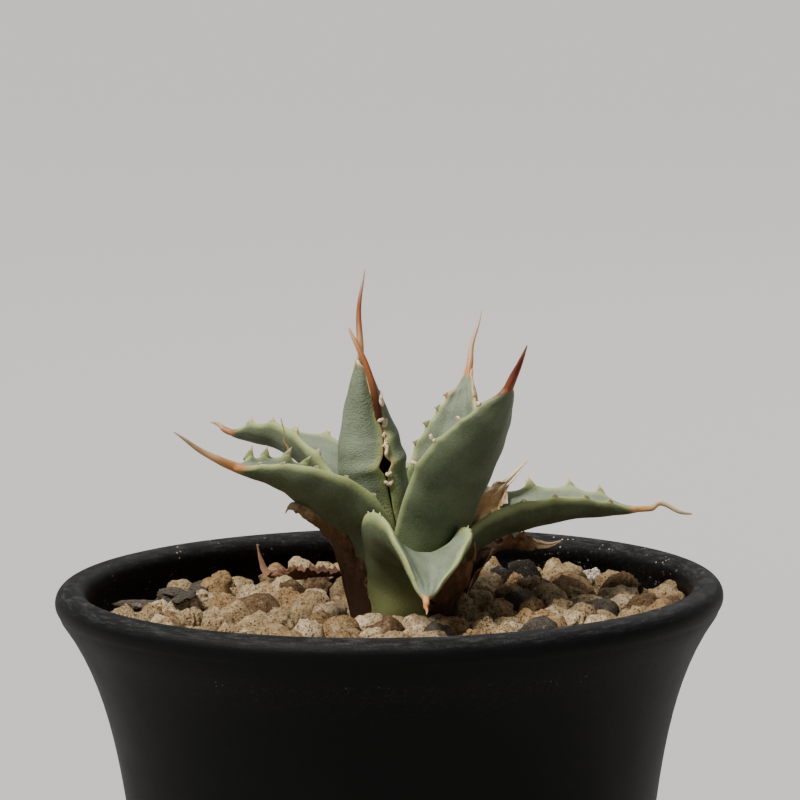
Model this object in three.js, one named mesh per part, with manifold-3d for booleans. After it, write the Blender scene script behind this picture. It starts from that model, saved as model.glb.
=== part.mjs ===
// A young agave in a round flared pot, in millimetres, +Z up.
// The origin is the centre of the pot's foot, on the surface that the pot stands on. -Y is the front.
import * as THREE from "three";
import { mergeVertices } from "three/addons/utils/BufferGeometryUtils.js";
import Module from "manifold-3d";

const wasm = await Module();
wasm.setup();

// ---- driving dimensions ----
const CLEARANCE = 0.3; // gap between touching pieces

// pot
const POT_HEIGHT = 80;
const RIM_RADIUS = 45; // outside of the rolled rim
const RIM_BEAD_RADIUS = 2.2;
const WALL = 2.4;
const FOOT_HEIGHT = 3; // the foot ring lifts the floor off the table
const FOOT_RING_WIDTH = 3.5;
const FLOOR = 3;
const DRAIN_RADIUS = 6;
const POT_SEGMENTS = 40;
const FOOT_NOTCH_WIDTH = 7; // drains the space inside the foot ring
const FOOT_NOTCH_HEIGHT = 1.6;
const WALL_TAPER = 0.08; // rise of the wall's radius per millimetre of height
const FLARE = 6; // how far the wall swings out below the rim
const FLARE_LENGTH = 11; // over how much height it does so

// drainage mesh that keeps the potting mix in
const MESH_RADIUS = 12;
const MESH_THICKNESS = 1;
const MESH_HOLE = 3;
const MESH_PITCH = 5;

// potting mix and gravel
const HEADSPACE = 4; // from the crown up to the rim
const STONE_SIZE = 5.6; // mean stone
const STONE_SUNK = 0.55; // share of a stone's height that is bedded in the mix
const STONE_COUNT = 30;
const BED_SLOPE = 0.012; // the bed is higher on the right
const HEAP = 1.6; // the tops of the stones, in the middle, are this far above the crown
const STONE_FREE_RADIUS = 10; // around the crown, taken up by the leaves' feet

// plant
const LEAF_THICKNESS = 2.4;
const LEAF_SUNK = 0.5; // how far the leaves' feet are sunk in the mix
const NEEDLE_RADIUS = 0.75;
const TOOTH_LENGTH = 1.0;
const TOOTH_RADIUS = 0.55;
const TOOTH_SUNK = 0.4; // the root of a tooth is sunk this far in the leaf's margin
const DRY_THICKNESS = 0.9;
const STEM_RADIUS = 2.6;
const STEM_DEPTH = 16;
const STEM_TOP = 2.5; // above the crown
const ROOT_COUNT = 5;
const ROOT_RADIUS = 1.1;
const ROOT_LENGTH = 26;

// ---- places worked out from them ----
const CROWN_HEIGHT = POT_HEIGHT - HEADSPACE;
const BED_TOP = CROWN_HEIGHT + HEAP - STONE_SIZE * (1 - STONE_SUNK);
const CROWN = new THREE.Vector3(1.5, 0, CROWN_HEIGHT); // where the plant leaves the gravel
const BEAD_CENTRE = new THREE.Vector2(RIM_RADIUS - RIM_BEAD_RADIUS, POT_HEIGHT - RIM_BEAD_RADIUS);
const FLOOR_TOP = FOOT_HEIGHT + FLOOR;
const FOOT = BED_TOP - CROWN_HEIGHT - LEAF_SUNK; // height of the leaves' feet, from the crown

// ---- colours ----
const paint = (color, roughness) => new THREE.MeshStandardMaterial({ color, roughness, metalness: 0 });
const MATERIALS = {
  pot: paint(0x1b1b1c, 0.55),
  mesh: paint(0x2c3a30, 0.6),
  mix: paint(0x5a4632, 0.95),
  stem: paint(0x8a7a55, 0.8),
  leaf: paint(0x6f8a6a, 0.6),
  dry: paint(0xa8763f, 0.8),
  stone: paint(0xbfa57c, 0.95),
};

// ---- solids ----
function solidOf(geometry) {
  const bare = new THREE.BufferGeometry();
  bare.setAttribute("position", geometry.getAttribute("position"));
  if (geometry.index) bare.setIndex(geometry.index);
  const merged = mergeVertices(bare, 1e-4);
  return new wasm.Manifold(
    new wasm.Mesh({
      numProp: 3,
      vertProperties: new Float32Array(merged.getAttribute("position").array),
      triVerts: new Uint32Array(merged.index.array),
    }),
  );
}

// The largest connected body of a cut solid, as a geometry.
function geometryOf(solid) {
  const bodies = solid.decompose();
  const biggest = bodies.reduce((best, body) => (body.volume() > best.volume() ? body : best));
  const mesh = biggest.getMesh();
  const geometry = new THREE.BufferGeometry();
  geometry.setAttribute("position", new THREE.BufferAttribute(mesh.vertProperties, 3));
  geometry.setIndex(new THREE.BufferAttribute(mesh.triVerts, 1));
  return geometry;
}

function piece(name, solid, material) {
  const mesh = new THREE.Mesh(geometryOf(solid), material);
  mesh.name = name;
  return mesh;
}

// A solid of revolution about Z from a profile of [radius, height] pairs.
function turned(profile, segments) {
  const points = profile.map(([radius, height]) => new THREE.Vector2(radius, height));
  return solidOf(new THREE.LatheGeometry(points, segments).rotateX(Math.PI / 2));
}

// Moves the end rings of a cutter outwards along its path, so that it clears the ends of what it stands for.
function overrun(rings, ends, grow) {
  rings[0].forEach((p) => p.addScaledVector(ends[0], -grow));
  rings.at(-1).forEach((p) => p.addScaledVector(ends[1], grow));
  return rings;
}

// A closed skin over rings of points. Each ring is joined to the next, and each end is capped by strips between the
// points that face each other across the ring, so that a ring may be bent into a C.
function skin(rings) {
  const count = rings[0].length;
  const faces = [];
  rings.slice(1).forEach((_, k) => {
    for (let j = 0; j < count; j++) {
      const a = k * count + j;
      const b = k * count + ((j + 1) % count);
      faces.push(a, b, b + count, a, b + count, a + count);
    }
  });
  const last = (rings.length - 1) * count;
  for (let j = 0; j + 1 < count - j; j++) {
    const strip = [j, j + 1, count - j - 1, (count - j) % count];
    for (const [a, b, c] of [[0, 1, 2], [0, 2, 3]]) {
      const corners = [strip[a], strip[b], strip[c]];
      if (new Set(corners).size < 3) continue;
      faces.push(...corners.toReversed());
      faces.push(...corners.map((corner) => corner + last));
    }
  }
  const geometry = new THREE.BufferGeometry().setFromPoints(rings.flat());
  geometry.setIndex(faces);
  return solidOf(geometry);
}

// ---- pot ----
const neck = POT_HEIGHT - 6; // height where the flare has reached its full swing
const wallRadiusAtNeck = RIM_RADIUS - 1.9;
function wallRadius(z) {
  const flare = FLARE * (Math.exp((z - neck) / FLARE_LENGTH) - 1);
  return wallRadiusAtNeck + flare - WALL_TAPER * (neck - z);
}

function makePot() {
  const foot = wallRadius(0);
  const outerTop = BEAD_CENTRE.y - RIM_BEAD_RADIUS * 0.8;
  const innerTop = BEAD_CENTRE.y - RIM_BEAD_RADIUS * 0.6;
  const rise = (from, to, count) => Array.from({ length: count }, (_, k) => from + ((to - from) * k) / (count - 1));
  const outer = rise(FOOT_HEIGHT, outerTop, 7).map((z) => [wallRadius(z), z]);
  const bead = rise(-0.2, 1.12, 7).map((turn) => {
    const angle = turn * Math.PI;
    return [BEAD_CENTRE.x + RIM_BEAD_RADIUS * Math.cos(angle), BEAD_CENTRE.y + RIM_BEAD_RADIUS * Math.sin(angle)];
  });
  const inner = rise(innerTop - 1, FLOOR_TOP, 6).map((z) => [wallRadius(z) - WALL, z]);
  const profile = [
    [DRAIN_RADIUS, FOOT_HEIGHT],
    [foot - FOOT_RING_WIDTH, FOOT_HEIGHT],
    [foot - FOOT_RING_WIDTH, 0],
    [foot, 0],
    ...outer,
    ...bead,
    ...inner,
    [DRAIN_RADIUS, FLOOR_TOP],
    [DRAIN_RADIUS, FOOT_HEIGHT],
  ];
  const notches = [0, 1, 2].map((k) => {
    const notch = new THREE.BoxGeometry(2 * FOOT_RING_WIDTH, FOOT_NOTCH_WIDTH, 2 * FOOT_NOTCH_HEIGHT);
    notch.translate(foot - FOOT_RING_WIDTH / 2, 0, 0);
    notch.rotateZ((k * 2 * Math.PI) / 3 + Math.PI / 2);
    return solidOf(notch);
  });
  return notches.reduce((pot, notch) => pot.subtract(notch), turned(profile, POT_SEGMENTS));
}

// ---- drainage mesh ----
function makeMesh() {
  const disc = new THREE.CylinderGeometry(MESH_RADIUS, MESH_RADIUS, MESH_THICKNESS, 28).rotateX(Math.PI / 2);
  const reach = Math.floor(MESH_RADIUS / MESH_PITCH);
  let mesh = solidOf(disc);
  for (let i = -reach; i <= reach; i++)
    for (let j = -reach; j <= reach; j++) {
      const corner = Math.hypot(Math.abs(i) * MESH_PITCH + MESH_HOLE / 2, Math.abs(j) * MESH_PITCH + MESH_HOLE / 2);
      if (corner > MESH_RADIUS - 1) continue;
      const hole = new THREE.BoxGeometry(MESH_HOLE, MESH_HOLE, 3 * MESH_THICKNESS);
      mesh = mesh.subtract(solidOf(hole.translate(i * MESH_PITCH, j * MESH_PITCH, 0)));
    }
  return mesh.translate([0, 0, FLOOR_TOP + CLEARANCE + MESH_THICKNESS / 2]);
}

// ---- potting mix ----
const bedHeight = (x) => BED_TOP + BED_SLOPE * x;

function makeMix() {
  const bottom = FLOOR_TOP + MESH_THICKNESS + 2 * CLEARANCE;
  const radius = (z) => wallRadius(z) - WALL - CLEARANCE;
  const side = [0, 0.3, 0.55, 0.75, 0.9, 1].map((share) => bottom + (BED_TOP - bottom) * share);
  const profile = [[0, bottom], ...side.map((z) => [radius(z), z]), [radius(BED_TOP) / 2, BED_TOP], [0, BED_TOP]];
  const top = BED_TOP - 0.01;
  return turned(profile, POT_SEGMENTS).warp((p) => {
    if (p[2] > top) {
      const full = Math.hypot(p[0], p[1]) || 1;
      const raised = bedHeight(p[0]);
      // the top stays inside the wall where it slopes
      const reach = Math.min(1, (radius(raised) - CLEARANCE) / full);
      p[0] *= reach;
      p[1] *= reach;
      p[2] = raised;
    }
  });
}

// ---- stem and roots ----
function makeStem(grow) {
  const radius = STEM_RADIUS + grow;
  const top = STEM_TOP + grow;
  const profile = [
    [0, -STEM_DEPTH - grow],
    [radius * 0.75, -STEM_DEPTH - grow],
    [radius, -STEM_DEPTH / 2],
    [radius, top - 2],
    [radius * 0.6, top - 0.5],
    [0, top],
  ];
  let stem = turned(profile, 14);
  for (let k = 0; k < ROOT_COUNT; k++) {
    const angle = (k * 2 * Math.PI) / ROOT_COUNT + 0.3;
    const out = (share, drop) =>
      new THREE.Vector3(
        ROOT_LENGTH * share * Math.cos(angle + share * 0.5),
        ROOT_LENGTH * share * Math.sin(angle + share * 0.5),
        -STEM_DEPTH + 2 - drop * ROOT_LENGTH,
      );
    const route = new THREE.CatmullRomCurve3([out(0, 0), out(0.22, 0.16), out(0.45, 0.45), out(0.6, 0.85)]);
    const rings = tubeRings(route, (share) => ROOT_RADIUS * (1 - 0.65 * share) + grow, 6, 5);
    stem = stem.add(skin(overrun(rings, [route.getTangent(0), route.getTangent(1)], grow)));
  }
  return stem;
}

function tubeRings(route, radiusAt, steps, sides) {
  const up = new THREE.Vector3(0, 0, 1);
  return Array.from({ length: steps + 1 }, (_, k) => {
    const share = k / steps;
    const along = route.getTangent(share);
    const across = new THREE.Vector3().crossVectors(up, along).normalize();
    const over = new THREE.Vector3().crossVectors(along, across);
    const centre = route.getPoint(share);
    return Array.from({ length: sides }, (_, j) => {
      const turn = (j * 2 * Math.PI) / sides;
      const spoke = across.clone().multiplyScalar(Math.cos(turn)).addScaledVector(over, Math.sin(turn));
      return centre.clone().addScaledVector(spoke, radiusAt(share));
    });
  });
}

// ---- leaves ----
// path: six points from the leaf's foot to the tip of its needle, from the crown; the blade ends at the fourth.
// face: where the upper side looks. roll: degrees that the blade turns about its path at the foot and at the tip.
// halfWidth: of the blade laid flat, at the share `widest` of its length.
// fold: half of the blade's bend across, in degrees, at the foot and at the tip.
// teeth: along each margin, as shares of the blade's length.
const BLADE_SPANS = 3;
const PATH_SPANS = 5;
const BLADE_RINGS = 10;
const NEEDLE_RINGS = 3;
const RING_POINTS = 8;

const LEAVES = {
  leaf_bud: {
    path: [
      [-1, 1.6, 2.9], [-1.6, 0, 10], [-1.9, -1.2, 16],
      [-2.1, -2.5, 22], [-3.1, -2.9, 29.5], [-6.5, -1.2, 38.6],
    ],
    face: [0.48, -0.88, 0], roll: [0, 0], halfWidth: 1.5, widest: 0.4, fold: [60, 40], thickness: 1.8, teeth: [],
  },
  leaf_center: {
    path: [
      [-1.4, 3.2, FOOT], [-4.9, 3.1, 13], [-5.7, 2.4, 24],
      [-5, 0.8, 34.2], [-5.1, 1.9, 40.4], [-4.2, 3, 46],
    ],
    face: [0.45, -0.89, 0], roll: [0, -25], halfWidth: 8.6, widest: 0.6, fold: [150, 150], thickness: 1.5,
    teeth: [0.3, 0.45, 0.62, 0.78],
  },
  leaf_back_right: {
    path: [
      [2.6, 2.6, FOOT], [5.6, 6.2, 13.5], [8.3, 9.8, 23.2],
      [9.6, 12.6, 30], [10.3, 14.8, 34], [11.7, 17.4, 38.4],
    ],
    face: [-0.45, -0.75, 0.5], roll: [0, 0], halfWidth: 5.4, widest: 0.45, fold: [70, 45], thickness: LEAF_THICKNESS,
    teeth: [0.42, 0.54, 0.66, 0.78, 0.88],
  },
  leaf_front_right: {
    path: [
      [2.6, -2.8, FOOT], [7.4, -5.4, 13.4], [11.8, -9, 24.2],
      [14.6, -12.8, 31.8], [16, -15, 35.2], [17, -17, 38],
    ],
    face: [-0.6, 0.48, 0.64], roll: [0, 0], halfWidth: 8.7, widest: 0.48, fold: [75, 50], thickness: LEAF_THICKNESS,
    teeth: [0.5, 0.63, 0.76],
  },
  leaf_left_back: {
    path: [
      [-3.2, 2.6, FOOT], [-6.2, 6.4, 12.6], [-14, 11.4, 20.3],
      [-22.8, 16, 22], [-24.4, 17, 22.9], [-25.8, 18, 23.2],
    ],
    face: [0, 0, 1], roll: [5, -35], halfWidth: 6.6, widest: 0.5, fold: [75, 50], thickness: LEAF_THICKNESS,
    teeth: [0.4, 0.52, 0.64, 0.75, 0.86],
  },
  leaf_back: {
    path: [
      [0.6, 4.4, FOOT], [0.2, 9, 8.6], [-1.4, 17, 13.6],
      [-3.4, 24, 16.6], [-3.8, 27, 18.6], [-3.9, 29.4, 20.6],
    ],
    face: [0, 0, 1], roll: [0, -8], halfWidth: 6.2, widest: 0.5, fold: [75, 50], thickness: LEAF_THICKNESS,
    teeth: [0.4, 0.53, 0.66, 0.79],
  },
  leaf_right: {
    path: [
      [4.2, 0.9, FOOT], [9.6, 2.8, 8.7], [20.4, 6.3, 11.7],
      [32.4, 9, 11.8], [36.2, 10, 12.1], [40, 11, 10.5],
    ],
    face: [0, 0, 1], roll: [6, -4], halfWidth: 6.6, widest: 0.6, fold: [55, 62], thickness: LEAF_THICKNESS,
    teeth: [0.42, 0.53, 0.65, 0.77, 0.86],
  },
  leaf_left_front: {
    path: [
      [-4.2, -1.9, FOOT], [-7.4, -4, 10.5], [-14.2, -8, 18.2],
      [-22, -11.5, 21.6], [-25.7, -13, 23.7], [-29.7, -15, 26.8],
    ],
    face: [0, 0, 1], roll: [0, 0], halfWidth: 8.2, widest: 0.45, fold: [88, 60], thickness: LEAF_THICKNESS,
    teeth: [0.45, 0.57, 0.68, 0.79, 0.88],
  },
  leaf_front: {
    path: [
      [0.6, -4.9, FOOT], [1.2, -9, 7], [3, -15.6, 8.6],
      [3.3, -22, 5.3], [3.3, -24.6, 4.6], [3.4, -27, 4.1],
    ],
    face: [0, 0, 1], roll: [10, 18], halfWidth: 9, widest: 0.45, fold: [82, 55], thickness: LEAF_THICKNESS,
    teeth: [0.3, 0.4, 0.5],
  },
};

// Withered leaves are thin, tightly rolled and have no teeth. The last one has come off and lies on the bed: its path
// starts from the spot that `lies` gives, as a share of the bed's radius and an angle in degrees.
const DRY_LEAVES = {
  dry_leaf_left: {
    path: [
      [-6, -3.4, FOOT], [-8, -4.8, 8.4], [-10.2, -6.2, 13],
      [-13.6, -7.6, 15.4], [-14.6, -8, 15.4], [-15.2, -8.2, 14.6],
    ],
    face: [0.5, 0.3, 0.8], roll: [0, -30], halfWidth: 3.8, widest: 0.6, fold: [60, 100],
  },
  dry_leaf_right: {
    path: [
      [5.2, 3.2, FOOT], [8.2, 5, 9.8], [11.4, 6.8, 13],
      [14.8, 8.8, 15.6], [16.4, 9.6, 17.2], [17.8, 10, 18.9],
    ],
    face: [-0.2, -0.7, 0.6], roll: [0, -50], halfWidth: 3.6, widest: 0.5, fold: [60, 60],
  },
  dry_leaf_low: {
    path: [
      [6.6, 2.2, FOOT], [10.2, 7, 5.4], [15, 11.6, 6.8],
      [18.6, 15, 6.4], [20.4, 16.4, 5.9], [22.2, 17.8, 6.1],
    ],
    face: [0, 0, 1], roll: [0, 30], halfWidth: 3.4, widest: 0.5, fold: [50, 70],
  },
  dry_leaf_sheath: {
    path: [
      [5, -5, FOOT], [7, -6.4, 2.6], [8.4, -6.8, 5.4],
      [9.4, -6.6, 8], [9.8, -6.4, 9.2], [10, -6.2, 10],
    ],
    face: [-0.7, 0.5, 0.4], roll: [0, 0], halfWidth: 3.4, widest: 0.5, fold: [40, 60],
  },
  dry_leaf_fallen: {
    lies: [0.72, 114],
    path: [
      [5.2, 0.6, 1], [1.7, -0.4, 1.3], [-1.9, -0.4, 1.3],
      [-4.7, 0.6, 1.6], [-5.7, 1.2, 3.2], [-6.3, 1.6, 5.4],
    ],
    face: [0, 0, 1], roll: [0, -20], halfWidth: 2.8, widest: 0.5, fold: [40, 70],
  },
};

const degrees = THREE.MathUtils.degToRad;
const mix = THREE.MathUtils.lerp;

// Half the blade's flat width at share v of its length, as a share of its width at the widest place.
function bladeWidth(v, widest) {
  const foot = 0.7;
  if (v < widest) return mix(foot, 1, Math.sin(((v / widest) * Math.PI) / 2));
  const rest = (v - widest) / (1 - widest);
  return 0.55 * (1 - rest ** 1.7) + 0.45 * Math.cos((rest * Math.PI) / 2) ** 2;
}

// Everything about the leaf's section at u, which runs from 0 at the foot to PATH_SPANS at the needle's tip.
function sectionAt(leaf, u) {
  const curve = new THREE.CatmullRomCurve3(leaf.path.map((p) => new THREE.Vector3(...p)), false, "catmullrom");
  const v = Math.min(1, u / BLADE_SPANS);
  const needle = Math.max(0, (u - BLADE_SPANS) / (PATH_SPANS - BLADE_SPANS));
  const along = curve.getTangent(Math.min(u / PATH_SPANS, 0.9999));
  const face = new THREE.Vector3(...leaf.face);
  const normal = face.addScaledVector(along, -face.dot(along)).normalize();
  const side = new THREE.Vector3().crossVectors(normal, along);
  const roll = degrees(mix(leaf.roll[0], leaf.roll[1], v * v));
  const radius = NEEDLE_RADIUS * (1 - needle) ** 0.8 + 0.05;
  const blade = Math.max(0, bladeWidth(v, leaf.widest));
  return {
    centre: curve.getPoint(u / PATH_SPANS),
    along,
    normal: normal.clone().multiplyScalar(Math.cos(roll)).addScaledVector(side, Math.sin(roll)),
    side: side.clone().multiplyScalar(Math.cos(roll)).addScaledVector(normal, -Math.sin(roll)),
    halfWidth: needle > 0 ? radius : mix(radius, leaf.halfWidth, blade),
    fold: degrees(mix(leaf.fold[0], leaf.fold[1], v)) * (1 - needle) * Math.min(1, blade * 4 + 0.05),
    above: needle > 0 ? radius : mix(leaf.thickness * 0.35, radius, v ** 3),
    below: needle > 0 ? radius : mix(leaf.thickness * 0.65, radius, v ** 3),
  };
}

// A point of the section: across runs from -1 to 1 over the blade, lift is its height above the blade's middle surface.
function sectionPoint(section, across, lift) {
  const fold = Math.max(section.fold, 0.01);
  const bendRadius = section.halfWidth / fold;
  const angle = across * fold;
  return section.centre
    .clone()
    .addScaledVector(section.side, bendRadius * Math.sin(angle) - lift * Math.sin(angle))
    .addScaledVector(section.normal, bendRadius * (1 - Math.cos(angle)) + lift * Math.cos(angle));
}

function leafRing(leaf, u, grow) {
  const section = sectionAt(leaf, u);
  const stretch = 1 + grow / section.halfWidth;
  return Array.from({ length: RING_POINTS }, (_, j) => {
    const turn = (j * 2 * Math.PI) / RING_POINTS;
    const lift = Math.sin(turn);
    const thick = lift > 0 ? section.above + grow : section.below + grow;
    return sectionPoint(section, Math.cos(turn) * stretch, lift * thick);
  });
}

function makeTooth(leaf, v, across, grow) {
  const section = sectionAt(leaf, v * BLADE_SPANS);
  const root = sectionPoint(section, across * 0.97, 0);
  const outwards = sectionPoint(section, across, 0).sub(sectionPoint(section, across * 0.9, 0)).normalize();
  outwards.addScaledVector(section.along, -0.35).normalize();
  const length = TOOTH_LENGTH + TOOTH_SUNK + 2 * grow;
  const cone = new THREE.ConeGeometry(TOOTH_RADIUS + grow, length, 4).translate(0, length / 2 - TOOTH_SUNK, 0);
  cone.applyQuaternion(new THREE.Quaternion().setFromUnitVectors(new THREE.Vector3(0, 1, 0), outwards));
  return solidOf(cone.translate(root.x, root.y, root.z));
}

function makeLeaf(leaf, grow = 0) {
  const stops = [];
  for (let k = 0; k < BLADE_RINGS; k++) stops.push((BLADE_SPANS * k) / BLADE_RINGS);
  for (let k = 0; k <= NEEDLE_RINGS; k++) stops.push(mix(BLADE_SPANS, PATH_SPANS, k / NEEDLE_RINGS));
  const ends = [0, PATH_SPANS].map((u) => sectionAt(leaf, u).along);
  const rings = stops.map((u) => leafRing(leaf, u, grow));
  let solid = skin(overrun(rings, ends, grow));
  for (const v of leaf.teeth)
    for (const across of [-1, 1]) solid = solid.add(makeTooth(leaf, v, across, grow));
  return solid;
}

// ---- gravel ----
// Stones that stand out are placed one by one: the share of the bed's radius and the angle in degrees where each lies,
// then its length, width and height as shares of the mean stone, and its heading in degrees.
const FEATURE_STONES = {
  stone_brown_right: [0.876, 27, 1.29, 1.18, 1.14, 20],
  stone_dark_left: [0.535, 117, 1.14, 0.96, 1, 60],
  stone_white_chip: [0.92, 42, 0.89, 0.54, 0.75, 140],
  stone_pale_left: [0.721, 152.6, 1.18, 0.79, 0.82, -5],
  bark_chip: [0.87, 146.3, 1.6, 0.54, 0.57, 45],
};

const bedRadius = wallRadius(BED_TOP) - WALL - CLEARANCE;
function onBed(share, angle) {
  const [x, y] = [bedRadius * share * Math.cos(degrees(angle)), bedRadius * share * Math.sin(degrees(angle))];
  return new THREE.Vector3(x, y, bedHeight(x));
}

function featureStone([share, angle, length, width, height, heading]) {
  const { x, y } = onBed(share, angle);
  return [x, y, length * STONE_SIZE, width * STONE_SIZE, height * STONE_SIZE, heading];
}

// A stone's ball is inscribed in its size, and dented a little by waves that differ from stone to stone.
function makeStone([x, y, length, width, height, heading], seed) {
  const ball = new THREE.DodecahedronGeometry(0.5, 0);
  const place = ball.getAttribute("position");
  const p = new THREE.Vector3();
  for (let k = 0; k < place.count; k++) {
    p.fromBufferAttribute(place, k);
    const wobble = Math.sin(4.2 * p.x + seed) + Math.sin(5.4 * p.y + 1.7 * seed) + Math.sin(4.6 * p.z + 2.9 * seed);
    p.multiplyScalar(0.94 - 0.02 * wobble);
    place.setXYZ(k, p.x, p.y, p.z);
  }
  return settled(ball, [x, y, length, width, height, heading]);
}

// The hollow that a stone lies in: a coarse ball whose faces just clear the stone.
function makeHollow([x, y, length, width, height, heading]) {
  const faceDistance = 0.7947; // from the middle of a ball of radius 1 to its faces
  const grown = (size) => (size + 2 * CLEARANCE) / faceDistance;
  const ball = new THREE.IcosahedronGeometry(0.5, 0);
  return settled(ball, [x, y, grown(length), grown(width), grown(height), heading], height * (0.5 - STONE_SUNK));
}

function settled(ball, [x, y, length, width, height, heading], lift = height * (0.5 - STONE_SUNK)) {
  ball.scale(length, width, height).rotateZ(degrees(heading));
  return solidOf(ball.translate(x, y, bedHeight(x) + lift));
}

// The other stones are strewn evenly between the crown and the wall, wherever there is room for one.
function strewnStones(placed) {
  const reach = bedRadius - STONE_SIZE * 0.8;
  const inner = STONE_FREE_RADIUS + STONE_SIZE / 2 + Math.abs(CROWN.x);
  const taken = placed.map(([x, y, length, width]) => [x, y, Math.max(length, width) / 2]);
  const strewn = {};
  for (let k = 0; Object.keys(strewn).length < STONE_COUNT && k < 4000; k++) {
    const radius = Math.sqrt(mix(inner ** 2, reach ** 2, (k * 0.75488) % 1));
    const angle = 2 * Math.PI * ((k * 0.56984) % 1);
    const [x, y] = [radius * Math.cos(angle), radius * Math.sin(angle)];
    const size = STONE_SIZE * (1 + 0.14 * Math.sin(k * 2.3));
    const half = size * 0.55;
    if (taken.some(([u, v, other]) => Math.hypot(u - x, v - y) < other + half + CLEARANCE)) continue;
    taken.push([x, y, half]);
    strewn["stone_" + String(Object.keys(strewn).length + 1).padStart(2, "0")] = [
      x, y, 2 * half, size * 0.92, size, (k * 47) % 360,
    ];
  }
  return strewn;
}

// ---- assembly ----
const group = new THREE.Group();

// The plant's pieces, from the stem and the innermost leaf outwards: each is cut clear of those before it.
const plant = new THREE.Group();
plant.position.copy(CROWN);
let inside = makeStem(CLEARANCE);
plant.add(piece("stem_and_roots", makeStem(0), MATERIALS.stem));
function addLeaf(name, leaf, material, foot = [0, 0, 0]) {
  const solid = makeLeaf(leaf).translate(foot);
  plant.add(piece(name, solid.subtract(inside), material));
  inside = wasm.Manifold.union([inside, solid, makeLeaf(leaf, CLEARANCE).translate(foot)]);
}
for (const [name, leaf] of Object.entries(LEAVES)) addLeaf(name, leaf, MATERIALS.leaf);
for (const [name, shape] of Object.entries(DRY_LEAVES)) {
  const foot = shape.lies ? onBed(...shape.lies).sub(CROWN).toArray() : [0, 0, 0];
  addLeaf(name, { ...shape, thickness: DRY_THICKNESS, teeth: [] }, MATERIALS.dry, foot);
}
group.add(plant);

group.add(piece("pot", makePot(), MATERIALS.pot));
group.add(piece("drainage_mesh", makeMesh(), MATERIALS.mesh));
const featured = Object.fromEntries(
  Object.entries(FEATURE_STONES).map(([name, place]) => [name, featureStone(place)]),
);
const fallen = onBed(...DRY_LEAVES.dry_leaf_fallen.lies);
const fallenLength = 13;
const stones = { ...featured, ...strewnStones([...Object.values(featured), [fallen.x, fallen.y, fallenLength, 0]]) };
const bedded = Object.values(stones).map(makeHollow);
const hollows = wasm.Manifold.union([inside.translate(CROWN.toArray()), ...bedded]);
group.add(piece("potting_mix", makeMix().subtract(hollows), MATERIALS.mix));
Object.entries(stones).forEach(([name, size], k) => {
  group.add(piece(name, makeStone(size, k), MATERIALS.stone));
});

export default group;
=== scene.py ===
import math

import bpy
import numpy as np
from mathutils import Matrix, Vector


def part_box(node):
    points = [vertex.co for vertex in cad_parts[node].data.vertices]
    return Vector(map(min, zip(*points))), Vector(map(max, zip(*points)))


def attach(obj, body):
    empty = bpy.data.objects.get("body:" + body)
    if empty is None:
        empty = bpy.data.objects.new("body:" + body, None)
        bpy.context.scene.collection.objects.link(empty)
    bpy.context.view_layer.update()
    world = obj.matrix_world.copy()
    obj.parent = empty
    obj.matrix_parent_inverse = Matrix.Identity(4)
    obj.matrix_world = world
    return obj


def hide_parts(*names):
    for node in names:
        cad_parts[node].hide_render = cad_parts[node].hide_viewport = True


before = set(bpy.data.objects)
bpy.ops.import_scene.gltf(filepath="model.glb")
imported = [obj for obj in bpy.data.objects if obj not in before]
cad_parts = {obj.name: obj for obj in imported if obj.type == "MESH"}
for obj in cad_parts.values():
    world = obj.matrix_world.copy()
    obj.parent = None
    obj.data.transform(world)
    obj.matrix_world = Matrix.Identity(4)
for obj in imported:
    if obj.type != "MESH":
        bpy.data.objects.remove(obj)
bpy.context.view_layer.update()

# Everything is worked out in millimetres and put into the meshes in metres.
mm = 0.001


# places that the frame gives
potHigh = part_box("pot")[1]
rimRadius = min(potHigh[0], potHigh[1]) / mm
rimHeight = potHigh[2] / mm
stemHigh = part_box("stem_and_roots")[1]
stemTop = 2.5  # the stem ends this far above the crown
crown = np.array([1.5, 0.0, stemHigh[2] / mm - stemTop])
print("frame loaded: rim radius", round(rimRadius, 2), "crown height", round(crown[2], 2))


# meshes
def ringFaces(rows, columns, closedRows=False):
    # quads of a grid whose columns close on themselves, and whose rows may too
    row = np.arange(rows if closedRows else rows - 1)[:, None]
    column = np.arange(columns)[None, :]
    a = row * columns + column
    b = row * columns + (column + 1) % columns
    c = (row + 1) % rows * columns + (column + 1) % columns
    d = (row + 1) % rows * columns + column
    return np.stack([a, b, c, d], -1).reshape(-1, 4)


def endFaces(rows, columns):
    # strips across the first and the last ring, between the points that face each other
    j = np.arange(1, columns // 2 - 1)
    strips = np.stack([j, j + 1, columns - j - 1, columns - j], -1)
    last = (rows - 1) * columns
    half = columns // 2
    ears = [[0, 1, columns - 1], [half - 1, half, half + 1]]
    faces = [*strips[:, ::-1].tolist(), *[e[::-1] for e in ears]]
    return faces + (strips + last).tolist() + [[k + last for k in e] for e in ears]


def skinFaces(rows, columns):
    # rings joined to each other, with both ends closed
    return [*ringFaces(rows, columns).tolist(), *endFaces(rows, columns)]


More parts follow.
